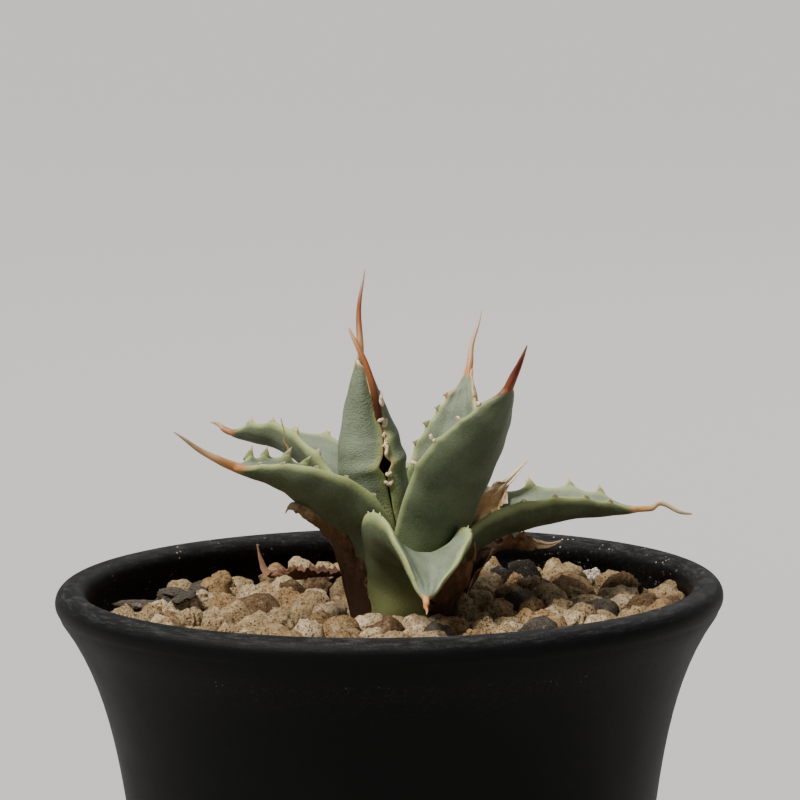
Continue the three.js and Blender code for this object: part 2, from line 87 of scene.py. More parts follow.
def addMesh(name, points, faces, attributes=None, flat=False):
    # points in millimetres; each attribute has one value, vector or colour for every point
    mesh = bpy.data.meshes.new(name)
    mesh.from_pydata((np.asarray(points).reshape(-1, 3) * mm).tolist(), [], faces)
    for title, values in (attributes or {}).items():
        values = np.asarray(values, dtype=np.float32)
        kind = {1: "FLOAT", 3: "FLOAT_VECTOR", 4: "FLOAT_COLOR"}[1 if values.ndim == 1 else values.shape[1]]
        field = {"FLOAT": "value", "FLOAT_VECTOR": "vector", "FLOAT_COLOR": "color"}[kind]
        mesh.attributes.new(title, kind, "POINT").data.foreach_set(field, values.ravel())
    mesh.polygons.foreach_set("use_smooth", [not flat] * len(mesh.polygons))
    mesh.update()
    thing = bpy.data.objects.new(name, mesh)
    bpy.context.scene.collection.objects.link(thing)
    return thing


def settle(thing, material, slot, *nodes):
    # the piece gets its finish, stands for its CAD nodes and rides with the pot
    thing.data.materials.append(material)
    if nodes:
        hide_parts(*nodes)
    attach(thing, "root")
    return thing


def unit(v):
    # each vector over its own length
    return v / np.maximum(np.linalg.norm(v, axis=-1, keepdims=True), 1e-9)


def smooth(low, high, x):
    # 3 t squared less 2 t cubed, as t runs from 0 at low to 1 at high
    t = np.clip((x - low) / (high - low), 0, 1)
    return t * t * (3 - 2 * t)


def loft(centres, first, second, sides):
    # many closed tubes at once. A ring is an ellipse round its centre, with first and second as its half
    # axes. All three are (tube, ring, 3).
    turn = np.arange(sides) * 2 * math.pi / sides
    spoke = first[:, :, None] * np.cos(turn)[:, None] + second[:, :, None] * np.sin(turn)[:, None]
    count, rings = centres.shape[:2]
    one = skinFaces(rings, sides)
    faces = [[k + tube * rings * sides for k in face] for tube in range(count) for face in one]
    return (centres[:, :, None] + spoke).reshape(-1, 3), faces


def tubes(centres, radii, sides):
    # round tubes, with radii as (tube, ring). Each ring stands square to its path.
    way = unit(np.gradient(centres, axis=1))
    guide = np.where(np.abs(way[:, :1, 2:]) > 0.8, [[[1.0, 0, 0]]], [[[0, 0, 1.0]]])
    side = unit(np.cross(np.broadcast_to(guide, way.shape), way))
    return loft(centres, side * radii[..., None], np.cross(way, side) * radii[..., None], sides)


# shader maths
def operator(operation, reflected=False):
    # a method that adds one Math node, with its two values the other way round where it is reflected
    def method(self, other):
        pair = (other, self) if reflected else (self, other)
        return self.math(operation, *pair)

    return method


class Wire:
    # a shader socket that takes part in Python sums
    def __init__(self, shader, socket):
        self.shader, self.socket = shader, socket

    def math(self, operation, *values, clamp=False):
        settings = {"operation": operation, "use_clamp": clamp}
        return self.shader.node("ShaderNodeMath", settings, dict(enumerate(values)))

    __add__ = operator("ADD")
    __sub__ = operator("SUBTRACT")
    __mul__ = operator("MULTIPLY")
    __radd__ = operator("ADD", True)
    __rsub__ = operator("SUBTRACT", True)
    __rmul__ = operator("MULTIPLY", True)

    def __abs__(self):
        return self.math("ABSOLUTE", self)

    def clamped(self):
        return self.math("ADD", self, 0.0, clamp=True)

    def step(self, low, high):
        # rises smoothly from 0 at low to 1 at high, or falls where low is the larger
        if low > high:
            return 1 - self.step(high, low)
        inputs = {"Value": self, "From Min": low, "From Max": high}
        return self.shader.node("ShaderNodeMapRange", {"interpolation_type": "SMOOTHSTEP"}, inputs)


class Shader:
    # one material: its fixed values are set at once, and give() links what changes over the surface
    def __init__(self, name, **fixed):
        self.material = bpy.data.materials.new(name)
        self.material.use_nodes = True
        self.tree = self.material.node_tree
        self.skin = self.tree.nodes["Principled BSDF"]
        for socket, value in fixed.items():
            self.skin.inputs[socket.replace("_", " ")].default_value = value

    def node(self, kind, settings=None, inputs=None, output=0):
        # any node: its settings first, then the values or links of its sockets
        made = self.tree.nodes.new(kind)
        for key, value in (settings or {}).items():
            setattr(made, key, value)
        for key, value in (inputs or {}).items():
            self.join(value, made.inputs[key])
        return Wire(self, made.outputs[output])

    def join(self, value, socket):
        if isinstance(value, Wire):
            self.tree.links.new(value.socket, socket)
        elif isinstance(value, tuple) and len(value) == 3 and socket.type == "RGBA":
            socket.default_value = (*value, 1.0)
        else:
            socket.default_value = value

    def give(self, **wires):
        # the surface's own sockets, and then the finished material
        for socket, value in wires.items():
            self.join(value, self.skin.inputs[socket.replace("_", " ")])
        return self.material

    def vector(self, operation, inputs, output=0):
        return self.node("ShaderNodeVectorMath", {"operation": operation}, inputs, output)

    def place(self):
        # Object coordinates, in millimetres
        spot = self.node("ShaderNodeTexCoord", output="Object")
        return self.vector("SCALE", {0: spot, "Scale": 1 / mm})

    def attribute(self, name, output="Fac"):
        return self.node("ShaderNodeAttribute", {"attribute_name": name}, output=output)

    def stretched(self, spot, factors):
        return self.vector("MULTIPLY", {0: spot, 1: factors})

    def noise(self, spot, scale, detail=4.0, roughness=0.55, distortion=0.0):
        inputs = {"Vector": spot, "Scale": scale, "Detail": detail}
        inputs.update(Roughness=roughness, Distortion=distortion)
        return self.node("ShaderNodeTexNoise", None, inputs)

    def cells(self, spot, scale):
        return self.node("ShaderNodeTexVoronoi", None, {"Vector": spot, "Scale": scale})

    def mix(self, factor, a, b, blend="MIX"):
        settings = {"data_type": "RGBA", "blend_type": blend}
        return self.node("ShaderNodeMix", settings, {0: factor, 6: a, 7: b}, output=2)

    def toned(self, mask, colour, share, tone):
        # where the mask is, the colour goes this share of the way to the tone
        return self.mix(mask, colour, self.mix(share, colour, tone))

    def bump(self, height, depth):
        # height is in units of depth, which is in millimetres
        return self.node("ShaderNodeBump", None, {"Height": height, "Distance": depth * mm, "Strength": 1.0})


# pot
potShape = {
    "beadRadius": 2.2,
    "wall": 2.4,
    "footHeight": 3.0,
    "footRing": 3.5,
    "floor": 3.0,
    "drainRadius": 6.0,
    "notchWidth": 7.0,
    "notchHeight": 1.6,
    "taper": 0.08,
    "flare": 6.0,
    "flareLength": 11.0,
    "neck": 6.0,  # the flare is nought this far below the rim,
    "neckInset": 1.9,  # and the wall there is this far in from the rim's radius
    "beadTurn": (-0.22, 1.14),  # half turns that the bead covers
    "edge": 0.5,  # rounding of the foot
    "segments": 256,
}


def wallRadius(z):
    # the outer wall leans out in a straight line, and an exponential of the height swings it out under
    # the rim
    neck = rimHeight - potShape["neck"]
    flare = potShape["flare"] * (np.exp((z - neck) / potShape["flareLength"]) - 1)
    return rimRadius - potShape["neckInset"] + flare - potShape["taper"] * (neck - z)


def innerRadius(z):
    # the inner wall is one thickness in from the outer one
    return wallRadius(z) - potShape["wall"]


def potProfile():
    # the section from the drain hole under the floor, round the foot, up the wall, over the bead and down
    # again
    s = potShape
    foot = wallRadius(0)
    ring = foot - s["footRing"]
    top = s["footHeight"] + s["floor"]
    corner = innerRadius(top)
    bead = np.array([rimRadius - s["beadRadius"], rimHeight - s["beadRadius"]])
    turn = np.linspace(*s["beadTurn"], 34)[:, None] * math.pi
    outer = np.linspace(s["edge"], bead[1] - s["beadRadius"] * 0.95, 34)
    inner = np.linspace(bead[1] - s["beadRadius"] - 0.6, top + 1.2, 26)
    return np.vstack([
        [[s["drainRadius"] + 0.4, s["footHeight"]], [ring - 0.8, s["footHeight"]]],
        [[ring, s["footHeight"] - 0.5], [ring, 1.5], [ring, s["edge"]]],
        [[ring + s["edge"], 0], [foot - s["edge"], 0]],
        np.stack([wallRadius(outer), outer], -1),
        bead + s["beadRadius"] * np.hstack([np.cos(turn), np.sin(turn)]),
        np.stack([innerRadius(inner), inner], -1),
        [[corner - 0.3, top + 0.3], [corner - 1.2, top], [s["drainRadius"] + 0.4, top]],
        [[s["drainRadius"], top - 0.4], [s["drainRadius"], s["footHeight"] + 0.4]],
    ])


def makePot():
    # the profile is turned about the upright axis. Within half a notch's width of three directions, the
    # foot's underside is lifted.
    profile = potProfile()
    turn = np.arange(potShape["segments"]) * 2 * math.pi / potShape["segments"]
    radius, height = profile[:, :1], profile[:, 1:]
    away = np.abs((turn - math.pi / 2 + math.pi / 3) % (2 * math.pi / 3) - math.pi / 3) * wallRadius(0)
    half = potShape["notchWidth"] / 2
    notch = potShape["notchHeight"] * (1 - smooth(half - 0.5, half + 0.3, away))[None, :]
    reach = potShape["footHeight"]
    inFoot = (height < reach) & (radius > wallRadius(0) - potShape["footRing"] - 0.01)
    lifted = np.where(inFoot, notch + height * (reach - notch) / reach, height + 0 * notch)
    points = np.stack([radius * np.cos(turn), radius * np.sin(turn), lifted], -1)
    faces = ringFaces(len(profile), potShape["segments"], closedRows=True)[:, ::-1]
    return addMesh("blackPot", points, faces.tolist())


def potSkin():
    # satin black with a fine grain, a painted grey sheen standing in for the highlight on the bead's top,
    # dust specks near it and a tide mark inside
    s = Shader("satinBlackPot", Specular_IOR_Level=0.07)
    spot = s.place()
    height = s.node("ShaderNodeSeparateXYZ", None, {0: spot}, "Z")
    grain = s.noise(spot, 5.5, 3, 0.6)
    broad = s.noise(spot, 0.09, 4, 0.6)
    streak = s.noise(s.stretched(spot, (0.35, 0.35, 3.2)), 1.0, 4, 0.65)
    nearRim = height.step(rimHeight - 9, rimHeight - 1)
    level = s.stretched(spot, (1.0, 1.0, 0.0))
    radius = s.vector("LENGTH", {0: level}, "Value")
    inner = radius.step(rimRadius - 1.4, rimRadius - 2.8)
    specks = s.cells(spot, 1.25).step(0.22, 0.10) * s.noise(spot, 0.16, 3).step(0.50, 0.64) * nearRim * inner
    # painted highlight: streaky grey in the base colour along the bead's top, with a little more roughness
    # there
    sheenStreak = 0.25 + 0.75 * streak.step(0.42, 0.70)
    onBead = height.step(rimHeight - 1.9, rimHeight - 0.2)
    paintedSheen = (sheenStreak * (0.3 + 0.7 * grain.step(0.38, 0.62)) * onBead).clamped()
    tide = height.step(rimHeight - 14, rimHeight - 4) * inner
    dust = (s.noise(spot, 1.9, 5, 0.7).step(0.5, 0.8) * tide * 0.3).clamped()
    colour = s.mix(broad, (0.0016, 0.0016, 0.0018), (0.0036, 0.0035, 0.0036))
    colour = s.mix(paintedSheen, colour, (0.050, 0.050, 0.051))
    colour = s.mix(dust, colour, (0.07, 0.062, 0.052))
    colour = s.mix((specks * 0.85).clamped(), colour, (0.42, 0.36, 0.28))
    rough = (0.40 + broad * 0.16 + grain * 0.10 + paintedSheen * 0.2 + specks * 0.3).clamped()
    relief = s.bump(grain + streak * 0.4, 0.05)
    return s.give(Base_Color=colour, Roughness=rough, Normal=relief)


settle(makePot(), potSkin(), "pot_black", "pot")
print("pot turned")


# green leaves
leafGrid = {"rows": 170, "needleRows": 48, "columns": 64}
bladeSpans, pathSpans = 3, 5
bedDrop = -1.42  # the leaves' feet are this far below the crown

# path: from the foot to the spine's tip, from the crown. The blade ends at the fourth point.
# face: where the upper side looks. roll and fold: degrees at the foot and at the tip.
# rollSpan: the shares of the blade between which it rolls, where it doesn't roll all along.
# opening: the fold opens at this share, over this width, by these degrees.
# teeth: shares of the blade's length, and toothLength on the margin at -1 and on the one at +1.
# curls: lumps of horn on a margin, as (margin, share, inset, length, lean, radius, stand).
# cords: raised lines of horn on a margin, as (margin, from, to, radius).
# knobs: above 0, curly knobs stand in place of the teeth. hair: one dead hair stands on the far margin.
# pebble: how strong the skin's pebbles are. powder: how much of the upper side's bloom the lower side has.
# hornFrom and hornMargin: shares from which the spine and the margins are horn.
# horn: tints of the spine at its base, at its middle and at its tip.
usualLeaf = {
    "face": [0, 0, 1], "roll": [0, 0], "rollSpan": None, "fullness": 1, "foldPower": 1, "tipClosed": 4,
    "opening": (0, 1, 0), "thickness": 2.4, "taper": 0.8, "wiggle": 0.06, "teeth": [],
    "toothLength": [0, 0], "knobs": 0, "hair": False, "curls": [], "cords": [], "pebble": 0.25,
    "powder": 0.0, "limeWidth": 1.0, "thorn": (0.66, 0.53, 0.35), "thornBase": (0.5, 0.4, 0.2),
    "hornMargin": 0.95,
}
leaves = {
    "bud": {
        "node": "leaf_bud",
        "path": [
            [-1, 1.6, 2.9], [-2.6, 0.6, 13], [-3.2, 0.2, 20], [-2.65, -2.3, 27.2], [-4.2, -3.3, 33.6],
            [-6.5, -1.2, 38.6],
        ],
        "face": [0.48, -0.88, 0], "halfWidth": 1.5, "widest": 0.4, "fold": [60, 40], "thickness": 1.2,
        "spine": 0.5, "taper": 0.42, "pebble": 0.3, "hornFrom": 0.35, "hornMargin": 0.96,
        "horn": [(0.085, 0.02, 0.01), (0.3, 0.095, 0.028), (0.5, 0.27, 0.12)],
    },
    "center": {
        "node": "leaf_center",
        "path": [
            [-1.4, 3.2, bedDrop], [-3.9, 3.1, 13], [-5.9, 2.4, 24.4], [-5, -1.1, 34.2],
            [-5.1, 1.0, 40.4], [-4.2, 3, 46],
        ],
        "face": [0.454, -0.891, 0], "roll": [0, -15], "rollSpan": (0.5, 0.78), "halfWidth": 11.4,
        "widest": 0.5, "fullness": 1.25, "fold": [179, 165], "foldPower": 8, "tipClosed": 12,
        "opening": (0.53, 0.035, 13), "thickness": 1.5, "spine": 0.5, "taper": 0.75,
        "curls": [
            (1, 0.866, -0.5, 1.9, 25, 0.21, 1.2), (1, 0.858, -0.5, 1.7, -50, 0.19, 1.3),
            (-1, 0.772, 0.1, 1.7, 60, 0.27, 0.1), (-1, 0.755, 0.5, 1.2, -50, 0.24, 0.0),
            (1, 0.7, 0.1, 1.0, 8, 0.12, 0.0), (-1, 0.59, 0.2, 2.5, 4, 0.21, 0.0),
            (-1, 0.64, 0.0, 1.1, 80, 0.16, 0.0), (-1, 0.485, 0.1, 0.8, 50, 0.24, 0.0),
            (-1, 0.448, 0.0, 1.4, 82, 0.28, 0.0),
        ],
        "cords": [(1, 0.86, 1.03, 0.2), (-1, 0.62, 0.84, 0.09)], "pebble": 0.75, "hornFrom": 0.985,
        "hornMargin": 0.52, "horn": [(0.44, 0.25, 0.11), (0.27, 0.085, 0.028), (0.46, 0.3, 0.18)],
    },
    "backRight": {
        "node": "leaf_back_right",
        "path": [
            [2.6, 2.6, bedDrop], [5.6, 6.2, 13.5], [8.3, 9.8, 23.2], [9.6, 12.6, 30], [10.3, 14.8, 34],
            [11.7, 17.4, 38.4],
        ],
        "face": [-0.45, -0.75, 0.5], "halfWidth": 5.4, "widest": 0.45, "fold": [70, 45], "spine": 0.48,
        "teeth": [0.42, 0.54, 0.65, 0.75, 0.84], "toothLength": [0.4, 0.6],
        "cords": [(-1, 0.4, 1.02, 0.2), (1, 0.8, 1.02, 0.17)], "pebble": 0.5,
        "thorn": (0.52, 0.345, 0.175), "thornBase": (0.24, 0.2, 0.085), "hornFrom": 0.985,
        "hornMargin": 0.8, "horn": [(0.5, 0.22, 0.08), (0.5, 0.31, 0.16), (0.46, 0.37, 0.27)],
    },
    "frontRight": {
        "node": "leaf_front_right",
        "path": [
            [2.6, -2.8, bedDrop], [7.4, -5.4, 13.4], [11.8, -9, 24.2], [14.6, -12.8, 31.8],
            [16, -15, 35.2], [17, -17, 38],
        ],
        "face": [-0.6, 0.48, 0.64], "halfWidth": 8.7, "widest": 0.48, "fold": [75, 50], "spine": 0.6,
        "teeth": [0.5, 0.63, 0.76, 0.86], "toothLength": [0.6, 0.5], "knobs": 1.2, "powder": 0.22,
        "limeWidth": 0.4, "hornFrom": 0.985, "hornMargin": 0.93,
        "horn": [(0.2, 0.055, 0.022), (0.13, 0.02, 0.012), (0.24, 0.09, 0.055)],
    },
    "leftBack": {
        "node": "leaf_left_back",
        "path": [
            [-3.2, 2.6, bedDrop], [-6.2, 6.4, 12.6], [-14, 11.4, 20.3], [-22.8, 16, 22],
            [-24.4, 17, 22.9], [-25.8, 18, 23.2],
        ],
        "roll": [5, -35], "halfWidth": 6.6, "widest": 0.5, "fold": [75, 50], "spine": 0.42, "taper": 0.7,
        "teeth": [0.4, 0.52, 0.64, 0.75, 0.86], "toothLength": [0.8, 0.7], "pebble": 0.3,
        "hornFrom": 0.97, "horn": [(0.32, 0.12, 0.045), (0.46, 0.25, 0.11), (0.48, 0.33, 0.19)],
    },
    "back": {
        "node": "leaf_back",
        "path": [
            [0.6, 4.4, bedDrop], [0.2, 9, 8.6], [-1.4, 17, 13.6], [-3.4, 24, 16.6], [-3.8, 27, 18.6],
            [-3.9, 29.4, 20.6],
        ],
        "roll": [0, -8], "halfWidth": 6.2, "widest": 0.5, "fold": [75, 50], "spine": 0.55,
        "teeth": [0.4, 0.53, 0.66, 0.79], "toothLength": [0.9, 0.9], "pebble": 0.3, "hornFrom": 0.98,
        "horn": [(0.34, 0.13, 0.05), (0.5, 0.3, 0.15), (0.5, 0.4, 0.28)],
    },
    "right": {
        "node": "leaf_right",
        "path": [
            [4.2, 0.9, bedDrop], [9.6, 2.8, 8.7], [20.4, 6.3, 11.7], [32.4, 9, 11.8], [36.2, 10, 12.1],
            [40, 11, 10.5],
        ],
        "roll": [6, -4], "halfWidth": 6.6, "widest": 0.6, "fold": [55, 62], "spine": 0.4, "taper": 0.35,
        "wiggle": 0.35, "teeth": [0.42, 0.53, 0.65, 0.77, 0.86], "toothLength": [0.4, 1.15],
        "hornFrom": 0.97, "horn": [(0.48, 0.26, 0.09), (0.55, 0.38, 0.22), (0.55, 0.43, 0.3)],
    },
    "leftFront": {
        "node": "leaf_left_front",
        "path": [
            [-4.2, -1.9, bedDrop], [-7.4, -4, 10.5], [-14.2, -8, 18.2], [-22, -11.5, 21.6],
            [-25.7, -13, 23.7], [-29.7, -15, 26.8],
        ],
        "halfWidth": 8.2, "widest": 0.45, "fold": [88, 60], "spine": 0.62, "taper": 0.7,
        "teeth": [0.45, 0.57, 0.68, 0.79, 0.88], "toothLength": [1.15, 0.22], "hair": True,
        "hornFrom": 0.96, "hornMargin": 0.93,
        "horn": [(0.42, 0.19, 0.065), (0.5, 0.31, 0.16), (0.48, 0.36, 0.25)],
    },
    "front": {
        "node": "leaf_front",
        "path": [
            [0.6, -4.9, bedDrop], [1.2, -9, 7.4], [3, -15.6, 9.2], [3.3, -22, 5.3], [3.3, -24.6, 4.6],
            [3.4, -27, 4.1],
        ],
        "roll": [10, 18], "halfWidth": 9, "widest": 0.45, "fold": [93, 55], "spine": 0.42,
        "teeth": [0.26, 0.32, 0.38, 0.44, 0.5, 0.56], "toothLength": [0.3, 0.16], "pebble": 0.2,
        "hornFrom": 1.0, "hornMargin": 0.98,
        "horn": [(0.55, 0.3, 0.12), (0.48, 0.2, 0.07), (0.5, 0.28, 0.14)],
    },
}


def along(path, u):
    # a uniform Catmull-Rom curve through the path's points, with u counting the points: a cubic between
    # each two, whose slope at a point is half the step from the one before it to the one after. Gives
    # places and directions.
    points = np.array(path, float)
    points = np.vstack([2 * points[0] - points[1], points, 2 * points[-1] - points[-2]])
    k = np.clip(np.floor(u).astype(int), 0, len(path) - 2)
    t = (u - k)[:, None]
    p0, p1, p2, p3 = (points[k + shift] for shift in range(4))
    m1, m2 = (p2 - p0) / 2, (p3 - p1) / 2
    place = (2 * t**3 - 3 * t**2 + 1) * p1 + (t**3 - 2 * t**2 + t) * m1
    place = place + (3 * t**2 - 2 * t**3) * p2 + (t**3 - t**2) * m2
    slope = (6 * t**2 - 6 * t) * (p1 - p2) + (3 * t**2 - 4 * t + 1) * m1 + (3 * t**2 - 2 * t) * m2
    return place, unit(slope)


def runLength(places):
    # how far along its path each place is
    steps = np.linalg.norm(np.diff(places, axis=0), axis=1)
    return np.concatenate([[0], np.cumsum(steps)])


def bladeWidth(v, widest, fullness):
    # share of the widest: swells from the foot as a quarter sine, then runs in to the tip by a power and
    # a squared cosine, later where it is fuller
    swell = 0.7 + 0.3 * np.sin(np.clip(v / widest, 0, 1) * math.pi / 2)
    rest = np.clip((v - widest) / (1 - widest), 0, 1) ** fullness
    return np.where(v < widest, swell, 0.55 * (1 - rest**1.7) + 0.45 * np.cos(rest * math.pi / 2) ** 2)


def sections(leaf, u):
    # where the blade's middle runs, its two cross directions, and its width, bend and thickness at each u
    place, heading = along(leaf["path"], u)
    v = np.clip(u / bladeSpans, 0, 1)
    needle = np.clip((u - bladeSpans) / (pathSpans - bladeSpans), 0, 1)
    face = np.array(leaf["face"], float)
    normal = unit(face - heading * (heading @ face)[:, None])
    side = np.cross(normal, heading)
    rolled = smooth(*leaf["rollSpan"], v) if leaf["rollSpan"] else v**2
    roll = np.radians(leaf["roll"][0] + (leaf["roll"][1] - leaf["roll"][0]) * rolled)[:, None]
    blade = np.where(needle > 0, 0, bladeWidth(v, leaf["widest"], leaf["fullness"]))
    radius = leaf["spine"] * (1 - needle) ** leaf["taper"] + 0.03
    fold = leaf["fold"][0] + (leaf["fold"][1] - leaf["fold"][0]) * v ** leaf["foldPower"]
    middle, width, degrees = leaf["opening"]
    fold = np.radians(fold - degrees * np.exp(-(((v - middle) / width) ** 2)))
    fold = fold * (1 - needle) * np.minimum(1, blade * leaf["tipClosed"] + 0.05)
    thin = v**3
    return {
        "place": place,
        "heading": heading,
        "normal": normal * np.cos(roll) + side * np.sin(roll),
        "side": side * np.cos(roll) - normal * np.sin(roll),
        "half": np.where(needle > 0, radius, radius + (leaf["halfWidth"] - radius) * blade),
        "fold": np.maximum(fold, 0.01),
        "above": np.where(needle > 0, radius, leaf["thickness"] * 0.35 * (1 - thin) + radius * thin),
        "below": np.where(needle > 0, radius, leaf["thickness"] * 0.65 * (1 - thin) + radius * thin),
        "v": v,
        "needle": needle,
    }


def onBlade(s, across, lift):
    # the blade is bent across into an arc, whose radius is half the width over the fold: a point lies
    # across * fold round it, and lift above its middle surface
    bend = (s["half"] / s["fold"])[:, None]
    angle = across * s["fold"][:, None]
    out = (bend - lift) * np.sin(angle)
    up = bend * (1 - np.cos(angle)) + lift * np.cos(angle)
    return s["place"][:, None] + s["side"][:, None] * out[..., None] + s["normal"][:, None] * up[..., None]


def toothLength(leaf, sides):
    # one length for the margin at +1 and one for the margin at -1
    return np.where(sides > 0, leaf["toothLength"][1], leaf["toothLength"][0])


def toothSwell(leaf, v, across):
    # the margin rises under each tooth as a bell, on each side by that side's tooth length
    width, height = (0.018, 0.45) if leaf["knobs"] else (0.030, 0.62)
    bells = sum((np.exp(-(((v - tooth) / width) ** 2)) for tooth in leaf["teeth"]), 0 * v)
    return np.minimum(bells, 1.2) * toothLength(leaf, across) * height


def leafBlade(leaf, seed):
    # one closed skin from the foot to the spine's tip: rings round a rounded section, set along the path.
    # The margins wave and swell under the teeth, and slow waves keep the faces from being too regular.
    bladeRows = np.linspace(0, bladeSpans, leafGrid["rows"], endpoint=False)
    u = np.concatenate([bladeRows, np.linspace(bladeSpans, pathSpans, leafGrid["needleRows"])])
    s = sections(leaf, u)
    turn = np.arange(leafGrid["columns"]) * 2 * math.pi / leafGrid["columns"]
    v = s["v"][:, None]
    needle = s["needle"][:, None]
    blade = 1 - smooth(0.0, 0.12, needle)
    across = np.cos(turn)[None, :] + 0 * v
    lift = np.sign(np.sin(turn)) * np.abs(np.sin(turn)) ** 0.85
    lift = np.where(lift > 0, lift * s["above"][:, None], lift * s["below"][:, None])
    edge = np.abs(across) ** 6
    phase = seed * 1.7
    taper = smooth(1.0, 0.86, v)
    lift = lift + blade * taper * edge * 0.13 * np.sin(26 * v + phase + 2 * across)
    slow = np.sin(7 * across + 15 * v + phase) * np.sin(29 * v - 5 * across + phase)
    lift = lift + blade * taper * 0.09 * slow
    swell = blade * edge * toothSwell(leaf, v, across) * taper ** 0.5
    wide = across * (1 + swell / s["half"][:, None])
    points = onBlade(s, wide, lift)
    wiggle = leaf["wiggle"] * smooth(0, 0.3, needle) * np.sin(9.5 * needle + phase)
    points = points + s["side"][:, None] * wiggle[..., None] + s["normal"][:, None] * wiggle[..., None] * 0.6
    length = runLength(s["place"])[:, None]
    laid = np.stack([wide * s["half"][:, None], length + 0 * across, 0.6 * lift], -1)
    attributes = {
        "along": np.ravel(v + needle + 0 * across),
        "across": np.ravel(across * blade),
        "facing": np.ravel(np.sin(turn)[None, :] + 0 * v),
        "laid": laid.reshape(-1, 3),
        "thorn": np.zeros(across.size),
    }
    return points.reshape(-1, 3), skinFaces(len(u), len(turn)), attributes


def marginPoints(leaf, shares, sides):
    # places on the margins, the way outwards there, and the sections they belong to
    s = sections(leaf, shares * bladeSpans)
    edge = 1 + toothSwell(leaf, shares, sides) / s["half"]
    place = onBlade(s, (sides * edge)[:, None], 0 * shares[:, None])[:, 0]
    inner = onBlade(s, (sides * 0.9 * edge)[:, None], 0 * shares[:, None])[:, 0]
    return place, unit(place - inner), s


def hornPart(mesh, share, side, half, rise):
    # a mesh of tubes and what the leaf's finish reads there. Each value is one for the whole, one for
    # each tube or one for each ring, and is repeated over the points.
    points, faces = mesh
    share, side, half, rise = (np.repeat(v, len(points) // np.size(v)) for v in (share, side, half, rise))
    laid = np.stack([side * half, share * 40, 0 * share], -1)
    return points, faces, {"along": share, "across": side, "facing": 0 * share, "laid": laid, "thorn": rise}


def leafTeeth(leaf, seed):
    # prickles: flat cones, broad along the margin, that hook back a little towards the foot
    rng = np.random.default_rng(seed)
    shares = np.repeat(np.array(leaf["teeth"]), 2)
    sides = np.tile([-1.0, 1.0], len(leaf["teeth"]))
    root, out, s = marginPoints(leaf, shares, sides)
    length = (toothLength(leaf, sides) * rng.uniform(0.8, 1.2, len(sides)))[:, None, None]
    t = np.linspace(-0.5, 1, 13)[None, :, None]
    outside = np.clip(t, 0, 1)
    sway = rng.uniform(-0.35, 0.1, (len(sides), 1, 1))
    heading, normal = s["heading"][:, None], s["normal"][:, None]
    step = out[:, None] * t + heading * sway * outside**1.6 + normal * 0.15 * outside
    slim = (1 - outside) ** 1.25
    broad = (0.52 * slim * (0.5 + 0.5 * length) + 0.04) * (1 + 0.9 * np.clip(-t, 0, 1))
    mesh = loft(root[:, None] + step * length, heading * broad, normal * (0.27 * slim + 0.035), 10)
    rise = np.clip(t.ravel() * 1.15 - 0.12, 0, 1)
    return hornPart(mesh, shares, sides, s["half"], np.tile(rise, len(sides)))


def leafKnobs(leaf, seed):
    # curly knobs: fat little tubes that start on the margin, bend over across it and taper to a blunt end
    rng = np.random.default_rng(seed + 40)
    shares = np.repeat(np.array(leaf["teeth"]), 2) + rng.uniform(-0.006, 0.006, 2 * len(leaf["teeth"]))
    sides = np.tile([-1.0, 1.0], len(leaf["teeth"]))
    root, out, s = marginPoints(leaf, shares, sides)
    length = toothLength(leaf, sides) * rng.uniform(0.75, 1.2, len(sides))
    t = np.linspace(-0.3, 1, 15)
    curl = (t * 2.3)[None, :, None]
    sway = rng.uniform(-1, 1, (len(sides), 1, 1))
    step = out[:, None] * np.sin(curl) * 0.6 + s["heading"][:, None] * sway * (1 - np.cos(curl)) * 0.75
    over = (0.25 + 0.2 * np.sin(3 * curl + sway * 4)) * np.clip(curl, 0, 9) * 0.35
    step = step + s["normal"][:, None] * over
    lump = 1 + 0.22 * np.sin(6 * t[None] + sway[..., 0] * 5)
    blunt = np.sqrt(np.clip(1.02 - np.clip(t, 0, 1) ** 3, 0, 1))
    radii = 0.30 * leaf["knobs"] ** 0.4 * lump * blunt * (0.6 + 0.4 * length[:, None])
    mesh = tubes(root[:, None] + step * length[:, None, None], radii + 0.02, 10)
    rise = np.clip(0.35 + 1.3 * t, 0, 1)
    return hornPart(mesh, shares, sides, s["half"], np.tile(rise, len(sides)))


def hornCurl(leaf, side, share, inset, length, lean, radius, stand, seed):
    # one curly lump of horn on a margin: a fat tube that leans from the margin's line by some degrees,
    # arches off the blade, wriggles and has round ends. Inset moves its middle in from the margin, and
    # stand lifts it.
    root, out, s = marginPoints(leaf, np.array([share]), np.array([float(side)]))
    t = np.linspace(0, 1, 26)[:, None]
    way = s["heading"] * math.cos(math.radians(lean)) + out * math.sin(math.radians(lean))
    angle = side * s["fold"][:, None]
    outward = s["side"] * np.sin(angle) - s["normal"] * np.cos(angle)
    wriggle = 0.22 * np.sin(7.5 * t + 1.9 * seed + 3 * share) * np.cross(outward, way)
    arch = 0.10 + (0.3 + stand) * np.sin(math.pi * t) ** 0.6
    centre = root - out * inset + way * (t - 0.5) * length + wriggle + outward * arch
    lump = 1 + 0.20 * np.sin(7 * t + seed + 40 * share) + 0.07 * np.sin(19 * t + seed)
    radii = radius * lump * np.sqrt(np.clip(1 - (2 * t - 1) ** 6, 0.02, 1))
    return hornPart(tubes(centre[None], radii[None, :, 0], 12), share, side, 8.0, 0.85)


